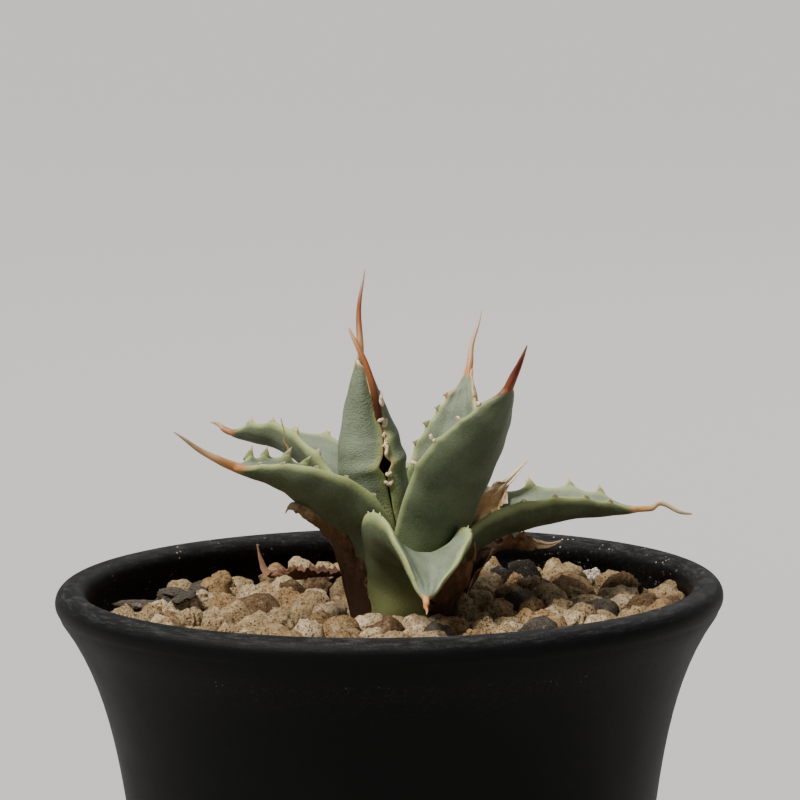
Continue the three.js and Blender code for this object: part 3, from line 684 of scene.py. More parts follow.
def hornCord(leaf, side, start, stop, radius, seed):
    # a thin line of horn that lies on the margin, and swells and thins along it by two sines
    shares = np.linspace(start, stop, 60)
    onLeaf = np.minimum(shares, 0.999)
    place, out, s = marginPoints(leaf, onLeaf, side + 0 * shares)
    place = place + s["heading"] * ((shares - onLeaf) * 40)[:, None]
    ends = smooth(0, 0.12, (shares - start) / (stop - start)) * 0.75 + 0.25
    radii = radius * ends * (1 + 0.25 * np.sin(31 * shares + seed) + 0.15 * np.sin(83 * shares))
    wander = 0.05 * np.sin(57 * shares + seed)[:, None] * s["normal"]
    mesh = tubes((place - out * radius * 0.3 + wander)[None], radii[None], 10)
    return hornPart(mesh, shares, side, s["half"], 0.8)


def wiryHair(leaf):
    # one thin dead hair that stands on the far margin, with its kinks in straight steps
    root, out, s = marginPoints(leaf, np.array([0.66]), np.array([-1.0]))
    t = np.linspace(0, 1, 24)
    kink = np.interp(t, [0, 0.3, 0.45, 0.62, 1], [0, -0.35, -0.95, -0.75, -1.25])
    centre = root + np.stack([kink, 0.4 * t, 5.6 * t - 0.3], -1)
    radii = 0.12 * (1 - 0.55 * t) * (1 + 0.3 * np.sin(9 * t))
    return hornPart(tubes(centre[None], radii[None], 8), 1.1, -1.0, 1.0, 0.0)


def joined(parts):
    # one mesh from several: each part's faces count on from the points before it
    points, faces, attributes, start = [], [], {}, 0
    for somePoints, someFaces, someAttributes in parts:
        points.append(somePoints)
        faces += [[k + start for k in face] for face in someFaces]
        for key, value in someAttributes.items():
            attributes.setdefault(key, []).append(value)
        start += len(somePoints)
    return np.vstack(points), faces, {key: np.concatenate(value) for key, value in attributes.items()}


leafLook = {
    "bloom": (0.208, 0.246, 0.168),
    "bloomDeep": (0.132, 0.160, 0.100),
    # the lower side: its own olive, darkened further as painted shade
    "shadedUnder": (0.060, 0.079, 0.028),
    "shadedUnderDeep": (0.032, 0.044, 0.014),
    "lime": (0.345, 0.390, 0.150),
    "young": (0.235, 0.265, 0.095),  # the pale foot
    "scurf": (0.46, 0.44, 0.30),
}


def leafSkin(name, leaf):
    # powdery grey-green above, olive below with painted shade darkening it, a thin lime margin, and horn on
    # the spine, the teeth and the cords. A fine pattern of pebbles, longer across the blade than along it,
    # covers both faces.
    s = Shader(name, Subsurface_Weight=0.05, Subsurface_Scale=0.001, Specular_IOR_Level=0.32)
    look = leafLook
    laid = s.attribute("laid", "Vector")
    reach, across = s.attribute("along"), abs(s.attribute("across"))
    facing, thorn = s.attribute("facing"), s.attribute("thorn")
    spot = s.place()
    pebble = leaf["pebble"]
    wobble = s.node("ShaderNodeTexNoise", None, {"Vector": laid, "Scale": 0.9, "Detail": 2.0}, "Color")
    wobbled = s.vector("MULTIPLY_ADD", {0: wobble, 1: (0.9, 0.9, 0.9), 2: laid})
    pebbles = s.cells(s.stretched(wobbled, (4.1, 5.2, 1.0)), 1.0)
    fine = s.noise(s.stretched(laid, (5.0, 6.5, 5.0)), 1.0, 3, 0.6)
    patch = s.noise(laid, 0.20, 5, 0.62)
    cloud = s.noise(spot, 0.5, 4, 0.6)
    above = (facing + cloud * 0.4 - 0.2).step(-0.30, 0.20)
    bloom = s.mix(patch.step(0.30, 0.68), look["bloomDeep"], look["bloom"])
    # painted shade: the lower side gets these darker tones
    shadedUnder = s.mix(patch.step(0.30, 0.68), look["shadedUnderDeep"], look["shadedUnder"])
    shadedUnder = s.mix(max(pebble, leaf["powder"]), shadedUnder, bloom)
    colour = s.mix(above, shadedUnder, bloom)
    grooves = pebbles.step(0.30, 0.62) * (0.16 + 0.34 * pebble)
    colour = s.toned(grooves, colour, 0.62, (0.03, 0.045, 0.02))
    colour = s.toned(fine.step(0.50, 0.75) * 0.22, colour, 0.5, (0.46, 0.49, 0.40))
    colour = s.mix(reach.step(0.34, 0.03) * 0.75, colour, look["young"])
    lime = leaf["limeWidth"]
    margin = (across + (cloud - 0.5) * 0.08).step(0.93 - 0.10 * lime, 0.985) * reach.step(1.01, 0.92)
    colour = s.mix(margin * (0.35 + 0.4 * lime), colour, look["lime"])
    scurf = s.cells(laid, 1.3).step(0.09, 0.035) * s.noise(laid, 0.5, 2).step(0.56, 0.66)
    colour = s.mix(scurf * 0.6, colour, look["scurf"])
    # horn: three tints from the spine's base to its tip, with dark fibres along it
    base, middle, tip = leaf["horn"]
    fibre = s.noise(s.stretched(laid, (3.0, 0.35, 3.0)), 1.0, 4, 0.6)
    horn = s.mix(reach.step(1.05, 1.4), base, middle)
    horn = s.mix(reach.step(1.55, 1.98), horn, tip)
    horn = s.toned(fibre.step(0.38, 0.75) * 0.5, horn, 0.5, (0.05, 0.018, 0.008))
    start, line = leaf["hornFrom"], leaf["hornMargin"]
    spine = (reach + (fibre - 0.5) * 0.06 + across * 0.02).step(start - 0.02, start + 0.035)
    rim = (across + (cloud - 0.5) * 0.05).step(0.955, 0.99) * reach.step(line - 0.05, line + 0.03)
    hard = (spine + rim * 0.8).clamped()
    colour = s.mix(hard, colour, horn)
    tooth = thorn.step(0.0, 0.28)
    ivory = s.mix(thorn.step(0.12, 0.6), leaf["thornBase"], leaf["thorn"])
    ivory = s.toned(fibre.step(0.45, 0.8) * 0.5, ivory, 0.6, leaf["thornBase"])
    colour = s.mix(tooth, colour, ivory)
    hard = (hard + tooth).clamped()
    rough = (0.58 + (patch - 0.5) * 0.2 + (fine - 0.5) * 0.2 - hard * 0.14).clamped()
    soft = 1 - hard
    relief = soft * ((1 - pebbles) * (0.25 + 0.75 * pebble) + fine * 0.25) + patch * 0.8 + fibre * hard * 1.3
    return s.give(Base_Color=colour, Roughness=rough, Normal=s.bump(relief, 0.070))


for seed, (name, own) in enumerate(leaves.items()):
    leaf = {**usualLeaf, **own}
    parts = [leafBlade(leaf, seed)]
    if leaf["teeth"]:
        parts.append(leafKnobs(leaf, seed) if leaf["knobs"] else leafTeeth(leaf, seed))
    for cord in leaf["cords"]:
        parts.append(hornCord(leaf, *cord, seed))
    for number, curl in enumerate(leaf["curls"]):
        parts.append(hornCurl(leaf, *curl, number))
    if leaf["hair"]:
        parts.append(wiryHair(leaf))
    points, faces, attributes = joined(parts)
    thing = addMesh(name + "Leaf", points + crown, faces, attributes)
    settle(thing, leafSkin(name + "LeafSkin", leaf), "leaf_green", leaf["node"])
print("green leaves grown:", len(leaves))


# withered leaves
bedSink = 0.92  # the bed's top is this far below the crown
bedTop = crown[2] - bedSink
bedSlope = 0.012  # rise of the bed along x
bedRadius = float(innerRadius(bedTop)) - 0.3
fallenTurn = math.radians(114)
fallenShare = 0.72  # of the bed's radius
fallenSpot = fallenShare * bedRadius * np.array([math.cos(fallenTurn), math.sin(fallenTurn), 0])
fallenSpot[2] = bedTop + bedSlope * fallenSpot[0]

witheredUsual = {"thickness": 0.5, "spine": 0.28, "taper": 0.7}
witheredLeaves = {
    "left": {
        "node": "dry_leaf_left",
        "path": [
            [-6, -3.4, bedDrop], [-8, -4.8, 8.4], [-10.2, -6.2, 13], [-13.6, -7.6, 15.4],
            [-14.6, -8, 15.4], [-15.2, -8.2, 14.6],
        ],
        "face": [0.5, 0.3, 0.8], "roll": [0, -30], "halfWidth": 3.8, "widest": 0.6, "fold": [60, 100],
        "crumple": 0.45, "tones": [(0.048, 0.024, 0.013), (0.15, 0.082, 0.04), (0.46, 0.33, 0.19)],
    },
    "right": {
        "node": "dry_leaf_right",
        "path": [
            [5.2, 3.2, bedDrop], [8.2, 5, 9.8], [11.4, 6.8, 13], [14.8, 8.8, 15.6], [16.4, 9.6, 17.2],
            [17.8, 10, 18.9],
        ],
        "face": [-0.2, -0.7, 0.6], "roll": [0, -50], "halfWidth": 3.6, "widest": 0.5, "fold": [60, 60],
        "crumple": 0.7, "tones": [(0.26, 0.11, 0.035), (0.6, 0.39, 0.19), (0.8, 0.66, 0.46)],
    },
    "low": {
        "node": "dry_leaf_low",
        "path": [
            [6.6, 2.2, bedDrop], [10.2, 7, 5.4], [15, 11.6, 6.8], [18.6, 15, 6.4], [20.4, 16.4, 5.9],
            [22.2, 17.8, 6.1],
        ],
        "roll": [0, 30], "halfWidth": 3.4, "widest": 0.5, "fold": [50, 70], "crumple": 0.5,
        "tones": [(0.09, 0.04, 0.02), (0.22, 0.1, 0.04), (0.52, 0.36, 0.21)],
    },
    "sheath": {
        "node": "dry_leaf_sheath",
        "path": [
            [5, -5, bedDrop], [7, -6.4, 2.6], [8.4, -6.8, 5.4], [9.4, -6.6, 8], [9.8, -6.4, 9.2],
            [10, -6.2, 10],
        ],
        "face": [-0.7, 0.5, 0.4], "halfWidth": 3.4, "widest": 0.5, "fold": [40, 60], "crumple": 0.35,
        "tones": [(0.06, 0.028, 0.015), (0.14, 0.065, 0.03), (0.25, 0.13, 0.06)],
    },
    "fallen": {
        "node": "dry_leaf_fallen",
        "path": [
            [5.2, 0.6, 1], [1.7, -0.4, 1.3], [-1.9, -0.4, 1.3], [-4.7, 0.6, 1.6], [-5.7, 1.2, 3.2],
            [-6.3, 1.6, 5.4],
        ],
        "roll": [0, -20], "halfWidth": 2.8, "widest": 0.5, "fold": [40, 70], "crumple": 0.4,
        "tones": [(0.07, 0.034, 0.018), (0.15, 0.074, 0.04), (0.22, 0.115, 0.07)],
    },
}


def witheredBlade(leaf, seed):
    # the same section as a green leaf but paper thin. Six sharp-edged waves at random slants, each finer
    # and lower than the last, crumple it, and the margins are ragged.
    rng = np.random.default_rng(seed + 60)
    rows, columns = 170, 72
    u = np.linspace(0, pathSpans, rows)
    s = sections(leaf, u)
    turn = np.arange(columns) * 2 * math.pi / columns
    v = s["v"][:, None]
    across = np.cos(turn)[None, :] + 0 * v
    lift = np.sin(turn)[None, :] * np.maximum(s["above"], 0.12)[:, None]
    deep = leaf["crumple"] * smooth(0.05, 0.3, v) * (1 - s["needle"][:, None])
    for octave in range(6):
        fineness = 1.5**octave
        slantA = rng.uniform(1.6, 3.6) * fineness
        slantB = rng.uniform(5, 9) * fineness * rng.choice([-1, 1])
        wave = 1 - 2 * np.abs(np.sin((slantA * across + slantB * v + rng.uniform(0, 6)) / 2))
        lift = lift + deep * wave * 0.75 / fineness**0.9
    reach = v + s["needle"][:, None]
    ragged = 1 + (0.10 * np.sin(37 * v + 5 * np.sign(across)) + 0.08 * np.sin(91 * v)) * np.abs(across) ** 4
    points = onBlade(s, across * ragged, lift)
    length = runLength(s["place"])[:, None]
    laid = np.stack([across * s["half"][:, None], length + 0 * across, 0 * across], -1)
    attributes = {
        "along": np.ravel(reach + 0 * across),
        "across": np.ravel(across),
        "laid": laid.reshape(-1, 3),
        "fold": np.ravel(lift),
    }
    return points.reshape(-1, 3), skinFaces(rows, columns), attributes


def witheredSkin(name, leaf):
    # brown paper with dark fibres along it, pale on the ridges, the torn margins and the tip
    s = Shader(name, Specular_IOR_Level=0.2)
    laid = s.attribute("laid", "Vector")
    reach, across, ridge = s.attribute("along"), abs(s.attribute("across")), s.attribute("fold")
    fibre = s.noise(s.stretched(laid, (4.2, 0.35, 1.0)), 1.0, 5, 0.68, 0.3)
    blotch = s.noise(s.place(), 0.8, 5, 0.68)
    dark, middle, pale = leaf["tones"]
    colour = s.mix((reach + (blotch - 0.5) * 0.9).step(0.15, 0.62), dark, middle)
    colour = s.mix((reach + (blotch - 0.5) * 1.1).step(0.70, 1.15), colour, pale)
    colour = s.mix((ridge + (fibre - 0.5) * 1.2).step(0.15, 0.75) * 0.55, colour, pale)
    colour = s.mix((across + (blotch - 0.5) * 0.3).step(0.93, 1.0) * 0.75, colour, pale)
    colour = s.toned(fibre.step(0.48, 0.70) * 0.6, colour, 0.7, dark)
    rough = (0.74 + (fibre - 0.5) * 0.2).clamped()
    return s.give(Base_Color=colour, Roughness=rough, Normal=s.bump(fibre + blotch * 0.6, 0.22))


for seed, (name, own) in enumerate(witheredLeaves.items()):
    leaf = {**usualLeaf, **witheredUsual, **own}
    points, faces, attributes = witheredBlade(leaf, seed)
    foot = fallenSpot if name == "fallen" else crown
    thing = addMesh(name + "WitheredLeaf", points + foot, faces, attributes)
    settle(thing, witheredSkin(name + "WitheredSkin", leaf), "dry_leaf", leaf["node"])
print("withered leaves grown:", len(witheredLeaves))


# stem and roots
stemShape = {"radius": 2.6, "depth": 16.0, "roots": 5, "rootRadius": 1.1, "rootLength": 26.0}


def makeStem():
    # a short round stem with leaf scars, and roots that run outwards and down
    s = stemShape
    t = np.linspace(0, 1, 70)
    z = -s["depth"] + (s["depth"] + stemTop) * t
    rounded = np.sqrt(np.clip(1 - smooth(0.9, 1.0, t) * 0.96, 0, 1))
    scars = 1 - 0.04 * np.abs(np.sin(z * 2.2))
    radius = s["radius"] * np.minimum(1, 0.75 + 1.6 * t) * rounded * scars
    stalk = tubes(np.stack([0 * z, 0 * z, z], -1)[None], radius[None], 48)
    k = np.arange(s["roots"])[:, None]
    share = np.linspace(0, 1, 40)[None, :]
    angle = k * 2 * math.pi / s["roots"] + 0.3 + share * 0.4
    out = s["rootLength"] * 0.6 * share
    down = -s["depth"] + 2 - s["rootLength"] * 0.85 * share**1.7
    wander = 0.25 * np.sin(9 * share + k)
    centres = np.stack([out * np.cos(angle) + wander, out * np.sin(angle) - wander, down + 0 * angle], -1)
    roots = tubes(centres, s["rootRadius"] * (1 - 0.65 * share) + 0 * angle, 20)
    return joined([(*stalk, {}), (*roots, {})])


def stemSkin():
    # cork: brown rings, drawn out round the stem
    s = Shader("corkyStem", Specular_IOR_Level=0.2)
    spot = s.place()
    ring = s.noise(s.stretched(spot, (0.5, 0.5, 2.4)), 1.0, 5, 0.6)
    colour = s.mix(ring.step(0.35, 0.7), (0.10, 0.065, 0.035), (0.33, 0.25, 0.14))
    return s.give(Base_Color=colour, Roughness=0.7 + ring * 0.2, Normal=s.bump(ring, 0.3))


points, faces = makeStem()[:2]
settle(addMesh("stemWithRoots", points + crown, faces), stemSkin(), "stem", "stem_and_roots")


# stones
def ball(level):
    # a ball of triangles: each step halves the edges of the one before it and pushes the middles out
    g = (1 + 5**0.5) / 2
    upright = np.array([[-1, g, 0], [1, g, 0], [-1, -g, 0], [1, -g, 0]])
    points = unit(np.vstack([np.roll(upright, shift, axis=1) for shift in range(3)]))
    faces = np.array([
        [0, 11, 5], [0, 5, 1], [0, 1, 7], [0, 7, 10], [0, 10, 11], [1, 5, 9], [5, 11, 4], [11, 10, 2],
        [10, 7, 6], [7, 1, 8], [3, 9, 4], [3, 4, 2], [3, 2, 6], [3, 6, 8], [3, 8, 9], [4, 9, 5],
        [2, 4, 11], [6, 2, 10], [8, 6, 7], [9, 8, 1],
    ])
    for _ in range(level):
        edges = np.sort(np.concatenate([faces[:, pair] for pair in ([0, 1], [1, 2], [2, 0])]), axis=1)
        edges, index = np.unique(edges, axis=0, return_inverse=True)
        a, b, c = index.reshape(3, -1) + len(points)
        points = np.vstack([points, unit(points[edges].mean(1))])
        corners = [(faces[:, 0], a, c), (faces[:, 1], b, a), (faces[:, 2], c, b), (a, b, c)]
        faces = np.concatenate([np.stack(corner, -1) for corner in corners])
    return points, faces


def knobblyStones(rng, count, level, rough):
    # stones of radius about 1: a ball that swells and sinks in broad bells, is cut by a few soft planes,
    # is dented by waves that get finer, and on the fine ones by small round pits
    points, faces = ball(level)
    radius = np.full((count, len(points)), 0.84)
    for _ in range(6):
        way = unit(rng.normal(size=(count, 1, 3)))
        height, narrow = rng.uniform(-0.16, 0.34, (count, 1)), rng.uniform(2.5, 8, (count, 1))
        radius = radius + height * np.exp(narrow * ((points[None] * way).sum(-1) - 1))
    for _ in range(4):
        way = unit(rng.normal(size=(count, 1, 3)))
        facing = np.maximum((points[None] * way).sum(-1), 1e-3)
        cut = rng.uniform(0.62, 0.98, (count, 1)) / facing
        radius = -np.logaddexp(-radius * 22, -cut * 22) / 22 + 0.02
    waves = [(3.1, 0.065), (5.3, 0.075), (9.1, 1.6 * rough), (15.0, 1.1 * rough), (24.0, 0.7 * rough)]
    for fineness, height in waves:
        way = unit(rng.normal(size=(count, 3, 3)))
        phase = rng.uniform(0, 6.3, (count, 3, 1))
        wave = np.sin(fineness * np.einsum("nkc,vc->nkv", way, points) + phase)
        radius = radius + height * wave.prod(1) * 1.6
    for _ in range(30 if level > 3 else 0):
        way = unit(rng.normal(size=(count, 1, 3)))
        deep, narrow = rng.uniform(0.03, 0.09, (count, 1)), rng.uniform(60, 190, (count, 1))
        radius = radius - deep * np.exp(narrow * ((points[None] * way).sum(-1) - 1))
    return points[None] * radius[..., None], faces


def stoneSkin(name):
    # porous grain: each has its tint, mottled with rust and cream, with pits of two sizes that are sunk by
    # the bump and painted dark as shade in their hollows
    s = Shader(name, Specular_IOR_Level=0.15)
    spot = s.place()
    tint = s.attribute("tint", "Color")
    mottle = s.noise(spot, 0.9, 6, 0.7)
    grit = s.noise(spot, 4.5, 5, 0.75)
    pits = s.cells(spot, 1.9).step(0.34, 0.16) * s.noise(spot, 0.9, 3).step(0.40, 0.54)
    pinholes = s.cells(spot, 3.6).step(0.40, 0.18) * s.noise(spot, 1.3, 3).step(0.34, 0.50)
    colour = s.mix(mottle.step(0.36, 0.60) * 0.75, tint, s.mix(0.85, tint, (0.52, 0.40, 0.27), "MULTIPLY"))
    colour = s.mix(mottle.step(0.40, 0.28) * 0.55, colour, s.mix(0.6, tint, (0.74, 0.64, 0.47)))
    colour = s.toned(grit.step(0.52, 0.72) * 0.42, colour, 0.55, (0.11, 0.07, 0.035))
    colour = s.toned(grit.step(0.46, 0.30) * 0.30, colour, 0.55, (0.80, 0.72, 0.56))
    pitDentAndShade = (pits + pinholes * 0.8).clamped()
    # painted shade: the pits are darkened in the base colour
    colour = s.mix(pitDentAndShade * 0.75, colour, (0.070, 0.038, 0.018))
    rough = (0.86 + (grit - 0.5) * 0.2).clamped()
    relief = grit * 0.7 + mottle * 0.6 - pitDentAndShade * 0.8
    return s.give(Base_Color=colour, Roughness=rough, Normal=s.bump(relief, 0.42))


tones = {
    "tan": (0.420, 0.312, 0.178),
    "cream": (0.560, 0.448, 0.285),
    "ochre": (0.350, 0.232, 0.115),
    "brown": (0.150, 0.092, 0.048),
    "grey": (0.088, 0.076, 0.062),
    "charcoal": (0.020, 0.018, 0.017),
    "white": (0.82, 0.77, 0.66),
}
namedTones = {
    "stone_brown_right": "brown",
    "stone_dark_left": "brown",
    "stone_white_chip": "white",
    "stone_pale_left": "cream",
    "bark_chip": "grey",
}
stoneSlots = {
    "bark_chip": "bark",
    "stone_white_chip": "stone_white",
    "stone_brown_right": "stone_brown",
    "stone_dark_left": "stone_brown",
}
porous = stoneSkin("porousGrain")

cadStones = sorted(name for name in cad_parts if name.startswith("stone_") or name == "bark_chip")
stoneRng = np.random.default_rng(11)
stonePoints, stoneFaces = knobblyStones(stoneRng, len(cadStones), 4, 0.030)
stoneSpots = []
for node, shape in zip(cadStones, stonePoints):
    # each stone fills the box of its CAD stone
    low, high = (np.array(corner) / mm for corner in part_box(node))
    middle, half = (low + high) / 2, (high - low) / 2
    shape = (shape - (shape.max(0) + shape.min(0)) / 2) / (np.ptp(shape, axis=0) / 2)
    points = middle + shape * half
    stoneSpots.append([*middle, half.mean()])
    plainTone = stoneRng.choice(["tan", "cream", "ochre", "brown"], p=[0.52, 0.22, 0.20, 0.06])
    tint = np.array(tones[namedTones.get(node, plainTone)]) * stoneRng.uniform(0.9, 1.1)
    tints = np.tile([*tint, 1.0], (len(points), 1))
    thing = addMesh("grain_" + node, points, stoneFaces.tolist(), {"tint": tints})
    settle(thing, porous, stoneSlots.get(node, "stone_tan"), node)
stoneSpots = np.array(stoneSpots)
print("single stones laid:", len(cadStones))


# loose gravel
gravel = {
    "grains": 940,
    "smallest": 0.75,
    "largest": 2.8,
    "depth": 5.5,  # from the bed's top down to the mix
    "heap": 1.7,  # grains may stand this far above the bed's top
    "crownRadius": 7.0,
    "steps": 320,
    "overlap": 0.96,  # grains aren't round, so they nestle closer than balls
    "calmSteps": 80,  # at the end
    "sink": (0.09, 0.01),  # in each step, and in each calm one
    "leafDip": 1.9,  # the heap is this much lower under the fallen leaf
    "fineDepth": 1.2,  # grains whose tops are above this depth are shaped finely,
    "fineSize": 1.15,  # if their radius is above this
    "swell": 1.12,  # a grain's shape over its ball's radius
}
# two near-black lumps behind the right leaf: x, y and radius
charcoal = np.array([[15.2, 24.6, 1.85], [19.2, 25.4, 1.95]])
barkChips = {
    "places": [
        (-33, 11), (-30.5, 15.5), (-26, 21), (-23.5, 14), (-28, 8), (-19.5, 25), (-34.5, 5), (-25, 17.5),
        (24, 22),
    ],
    "radius": 1.75,
    "stretch": np.array([[[2.3, 0.72, 0.20]]]),
    "lift": 0.15,  # above the grain under it
}


def packGrains():
    # balls that sink a little in each step, push each other apart by a part of how deep they overlap, and
    # stay off the wall, the crown and the single stones
    rng = np.random.default_rng(23)
    g = gravel
    size = g["smallest"] + (g["largest"] - g["smallest"]) * rng.random(g["grains"]) ** 1.9
    away = np.sqrt(rng.uniform(0.03, 1, g["grains"])) * (bedRadius - 2)
    turn = rng.uniform(0, 2 * math.pi, g["grains"])
    height = bedTop + rng.uniform(-g["depth"], g["heap"], g["grains"])
    spot = np.stack([away * np.cos(turn), away * np.sin(turn), height], -1)
    darkSpots = np.column_stack([charcoal[:, :2], bedTop + 0.5 + 0 * charcoal[:, 2]])
    fixed = np.vstack([stoneSpots[:, :3], darkSpots])
    sizes = np.concatenate([size, stoneSpots[:, 3], charcoal[:, 2]])
    for step in range(g["steps"]):
        everyone = np.vstack([spot, fixed])
        if step % 16 == 0:
            gaps = np.linalg.norm(everyone[:, None] - everyone[None], axis=-1) - sizes[:, None] - sizes[None]
            first, second = np.nonzero(np.triu(gaps < 1.6, 1))
            first, second = first[first < len(spot)], second[first < len(spot)]
            free = second < len(spot)
        spot[:, 2] -= g["sink"][0] if step < g["steps"] - g["calmSteps"] else g["sink"][1]
        everyone[: len(spot)] = spot
        apart = everyone[first] - everyone[second]
        distance = np.linalg.norm(apart, axis=1, keepdims=True) + 1e-6
        deep = np.clip((sizes[first] + sizes[second])[:, None] * g["overlap"] - distance, 0, None)
        push = apart / distance * deep * np.where(free, 0.4, 0.8)[:, None]
        np.add.at(spot, first, push)
        np.subtract.at(spot, second[free], push[free])
        floor = bedTop + bedSlope * spot[:, 0] - g["depth"] + size
        fromLeaf = (spot[:, :2] - fallenSpot[:2]) / (6.5, 3.5)
        onLeaf = np.exp(-(fromLeaf[:, 0] ** 4) - fromLeaf[:, 1] ** 4)
        heap = g["heap"] - g["leafDip"] * onLeaf  # the fallen leaf lies open on the gravel
        ceiling = np.maximum(bedTop + bedSlope * spot[:, 0] + heap - size, floor)
        spot[:, 2] = np.clip(spot[:, 2], floor, ceiling)
        limit = innerRadius(spot[:, 2]) - size * 0.95
        spot[:, :2] *= np.minimum(1, limit / np.hypot(spot[:, 0], spot[:, 1]))[:, None]
        fromCrown = spot[:, :2] - crown[:2]
        near = np.linalg.norm(fromCrown, axis=1) + 1e-6
        push = np.maximum(g["crownRadius"] + size * 0.8 - near, 0)
        spot[:, :2] += fromCrown / near[:, None] * push[:, None]
    return np.vstack([spot, darkSpots]), np.concatenate([size, charcoal[:, 2]])


def turned(rng, shapes, lean):
    # each shape is tilted about X by up to its lean and then turned about Z
    count = len(shapes)
    spin, tilt = rng.uniform(0, 2 * math.pi, count), rng.uniform(-1, 1, count) * lean
    one, zero = np.ones(count), np.zeros(count)
    cz, sz, cx, sx = np.cos(spin), np.sin(spin), np.cos(tilt), np.sin(tilt)
    aboutZ = np.array([[cz, -sz, zero], [sz, cz, zero], [zero, zero, one]])
    aboutX = np.array([[one, zero, zero], [zero, cx, -sx], [zero, sx, cx]])
    return np.einsum("ijn,jkn,nvk->nvi", aboutZ, aboutX, shapes)


def insideWall(points):
    # what would poke through the wall is drawn in towards the axis
    radius = np.hypot(points[..., 0], points[..., 1])
    limit = innerRadius(points[..., 2]) - 0.05
    points[..., :2] *= np.minimum(1, limit / np.maximum(radius, 1e-6))[..., None]
    return points


def addGrains(name, rng, spot, size, tone, level, rough, stretch, lean):
    # one mesh of many stones, each stretched, turned, swollen to its ball and tinted a little off its
    # tone
    shapes, faces = knobblyStones(rng, len(spot), level, rough)
    shapes = turned(rng, shapes * stretch, lean)
    points = insideWall(spot[:, None] + shapes * (size * gravel["swell"])[:, None, None])
    tint = np.array([tones[t] for t in tone]) * rng.uniform(0.84, 1.16, (len(spot), 1))
    tint = np.repeat(np.hstack([tint, np.ones((len(spot), 1))]), shapes.shape[1], axis=0)
    allFaces = (faces[None] + (np.arange(len(spot)) * shapes.shape[1])[:, None, None]).reshape(-1, 3)
    return addMesh(name, points, allFaces.tolist(), {"tint": tint})


def surfaceHeight(spot, size, x, y):
    # the top of the highest grain under a place
    across = (spot[:, 0] - x) ** 2 + (spot[:, 1] - y) ** 2
    return (spot[:, 2] + np.sqrt(np.clip(size**2 - across, 0, None)) - 99 * (across > size**2)).max()


def makeGravel():
    # the top grains are shaped finely, the buried ones coarsely, and thin chips of bark lie on top
    rng = np.random.default_rng(31)
    spot, size = packGrains()
    names = np.array(["tan", "cream", "ochre", "brown", "grey"])
    tone = names[rng.choice(5, len(spot), p=[0.50, 0.21, 0.19, 0.07, 0.03])].astype("U8")
    tone[-len(charcoal):] = "charcoal"
    top = spot[:, 2] + size > bedTop + bedSlope * spot[:, 0] - gravel["fineDepth"]
    top = top & (size > gravel["fineSize"])
    stretch = rng.uniform(0.80, 1.24, (len(spot), 1, 3))
    pieces = []
    for name, chosen, level, rough in (("topGravel", top, 2, 0.040), ("buriedGravel", ~top, 1, 0.0)):
        some = (spot[chosen], size[chosen], tone[chosen], level, rough, stretch[chosen], 1.5)
        pieces.append(addGrains(name, rng, *some))
    chips = barkChips["places"]
    count = len(chips)
    spot = np.array([[x, y, surfaceHeight(spot, size, x, y) + barkChips["lift"]] for x, y in chips])
    thin = barkChips["stretch"] * rng.uniform(0.8, 1.2, (count, 1, 3))
    some = (spot, np.full(count, barkChips["radius"]), ["grey"] * count, 3, 0.03, thin, 0.3)
    pieces.append(addGrains("barkChips", rng, *some))
    return pieces


# lift is above the pot's floor, above is over the lowest grains' feet, and gap is from the wall
mixShape = {"lift": 1.6, "above": 2.2, "gap": 0.25, "segments": 160}


def makeMixBody():
    # the soil under the gravel: a profile inside the wall turned about the upright axis, with products of
    # sines for its uneven top
    m = mixShape
    turn = np.arange(m["segments"]) * 2 * math.pi / m["segments"]
    low = potShape["footHeight"] + potShape["floor"] + m["lift"]
    high = bedTop - gravel["depth"] + m["above"]
    side = np.linspace(low + 0.6, high - 0.6, 40)
    share = np.linspace(1, 0.004, 34)
    bottom, top = (innerRadius(z) - m["gap"] for z in (low, high))
    radius = np.concatenate([bottom * share[::-1] * 0.985, innerRadius(side) - m["gap"], top * share * 0.985])
    height = np.concatenate([low + 0 * share, side, high + 0 * share])
    r, z = radius[:, None], height[:, None]
    x, y = r * np.cos(turn), r * np.sin(turn)
    rough = 0.5 * np.sin(1.3 * x + 0.7 * y) * np.sin(1.1 * y - 0.4 * x)
    rough = rough + 0.3 * np.sin(2.9 * x) * np.sin(3.1 * y)
    z = z + np.where(z > high - 0.1, rough + bedSlope * x, 0)
    points = np.stack([x, y, z + 0 * x], -1)
    return addMesh("pottingMix", points, skinFaces(len(radius), m["segments"]))


def mixSkin():
    # dark crumbs with pale grit
    s = Shader("pottingMix", Specular_IOR_Level=0.2)
    spot = s.place()
    crumbs = s.cells(spot, 0.75)
    grit = s.noise(spot, 2.4, 5, 0.7)
    colour = s.mix(crumbs, (0.15, 0.10, 0.06), (0.035, 0.022, 0.014))
    colour = s.mix(grit.step(0.55, 0.7) * 0.6, colour, (0.36, 0.26, 0.15))
    return s.give(Base_Color=colour, Roughness=0.85 + grit * 0.1, Normal=s.bump(grit - crumbs, 0.6))


for thing, slot in zip(makeGravel(), ["stone_tan", "stone_tan", "bark"]):
    settle(thing, porous, slot)
settle(makeMixBody(), mixSkin(), "potting_mix", "potting_mix")
print("gravel packed:", gravel["grains"], "grains")


# drainage mesh: the frame's own shape, with a finish
def netSkin():
    # dull green plastic
    s = Shader("drainNet", Specular_IOR_Level=0.4)
    spot = s.place()
    weave = s.noise(spot, 3.0, 3)
    colour = s.mix(weave, (0.018, 0.035, 0.022), (0.05, 0.075, 0.05))
    return s.give(Base_Color=colour, Roughness=0.45 + weave * 0.2, Normal=s.bump(weave, 0.08))


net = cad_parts["drainage_mesh"]
net.data.materials.clear()
net.data.materials.append(netSkin())


# floor, light and camera
stage = {
    "floorSpan": 9000.0,
    "floorDrop": 0.02,
    "worldColour": (0.86, 0.87, 0.89, 1),
    "worldPower": 0.26,
    "lampsAim": (0, 0, 0.08),
}


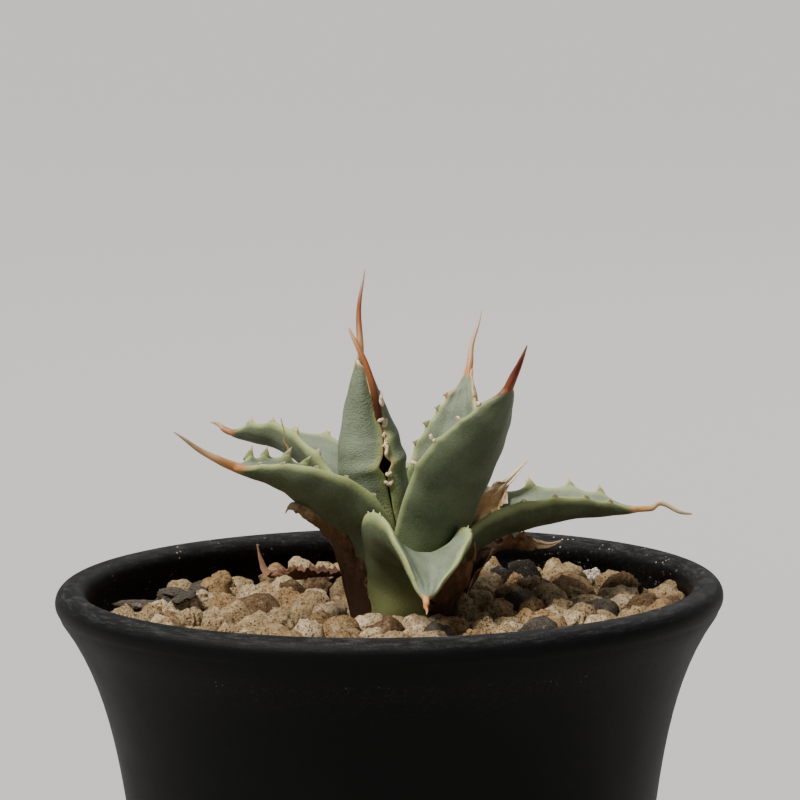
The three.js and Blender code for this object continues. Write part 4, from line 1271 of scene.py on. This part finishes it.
def makeFloor():
    # one wide square just under the pot's foot, in pale paper
    corners = np.array([[-1, -1], [1, -1], [1, 1], [-1, 1]]) * stage["floorSpan"]
    points = np.column_stack([corners, np.full(4, -stage["floorDrop"])])
    floor = addMesh("paleFloor", points, [[0, 1, 2, 3]], flat=True)
    s = Shader("palePaper", Specular_IOR_Level=0.25)
    tooth = s.noise(s.place(), 0.6, 4)
    colour = s.mix(tooth, (0.42, 0.415, 0.405), (0.45, 0.445, 0.435))
    floor.data.materials.append(s.give(Base_Color=colour, Roughness=0.75 + tooth * 0.1))


lights = {
    "key": {"place": (-0.44, -0.34, 0.95), "spread": 19.0, "power": 6.4, "colour": (1.0, 0.975, 0.93)},
    "fill": {"place": (0.85, -0.75, 0.45), "size": 0.9, "power": 1.0, "colour": (0.97, 0.98, 1.0)},
    "back": {"place": (0.35, 0.75, 0.75), "size": 0.6, "power": 2.6, "colour": (1.0, 0.98, 0.96)},
}


def aimAt(thing, place, target):
    # puts a lamp at a place and turns it towards the target
    thing.location = place
    thing.rotation_euler = (Vector(target) - Vector(place)).to_track_quat("-Z", "Y").to_euler()


def makeLights():
    # one wide sun, two round lamps and an even sky
    for name, settings in lights.items():
        far = "spread" in settings
        lamp = bpy.data.lights.new(name, "SUN" if far else "AREA")
        if far:
            lamp.angle = math.radians(settings["spread"])
        else:
            lamp.shape = "DISK"
            lamp.size = settings["size"]
        lamp.energy = settings["power"]
        lamp.color = settings["colour"]
        thing = bpy.data.objects.new(name, lamp)
        bpy.context.scene.collection.objects.link(thing)
        aimAt(thing, settings["place"], stage["lampsAim"])
    world = bpy.data.worlds.new("softRoom")
    bpy.context.scene.world = world
    world.use_nodes = True
    sky = world.node_tree.nodes["Background"]
    sky.inputs["Color"].default_value = stage["worldColour"]
    sky.inputs["Strength"].default_value = stage["worldPower"]


cameraPlan = {
    "elevation": 9.9,  # degrees above the rim's plane
    "distance": 0.8,
    "aim": (0.00177, 0.0, 0.1045),
    "roll": 0.7,  # degrees
    "lens": 267.12,
    "sensor": 36.0,
    "clip": (0.05, 60.0),
    "pivot": (0, 0, 0.08),  # the distance is counted from here
}


def makeCamera():
    # stands back from the pivot at its elevation, looks at its aim and leans by its roll
    plan = cameraPlan
    lift = math.radians(plan["elevation"])
    spot = Vector((0, -math.cos(lift), math.sin(lift))) * plan["distance"] + Vector(plan["pivot"])
    forward = (Vector(plan["aim"]) - spot).normalized()
    right = forward.cross(Vector((0, 0, 1))).normalized()
    up = right.cross(forward)
    turn = math.radians(plan["roll"])
    cosine, sine = math.cos(turn), math.sin(turn)
    right, up = right * cosine - up * sine, right * sine + up * cosine
    lens = bpy.data.cameras.new("camera")
    lens.lens = plan["lens"]
    lens.sensor_width = plan["sensor"]
    lens.clip_start, lens.clip_end = plan["clip"]
    camera = bpy.data.objects.new("camera", lens)
    camera.matrix_world = Matrix((right, up, -forward)).transposed().to_4x4()
    camera.location = spot
    bpy.context.scene.collection.objects.link(camera)
    bpy.context.scene.camera = camera


makeFloor()
makeLights()
makeCamera()
print("floor, lights and camera set")
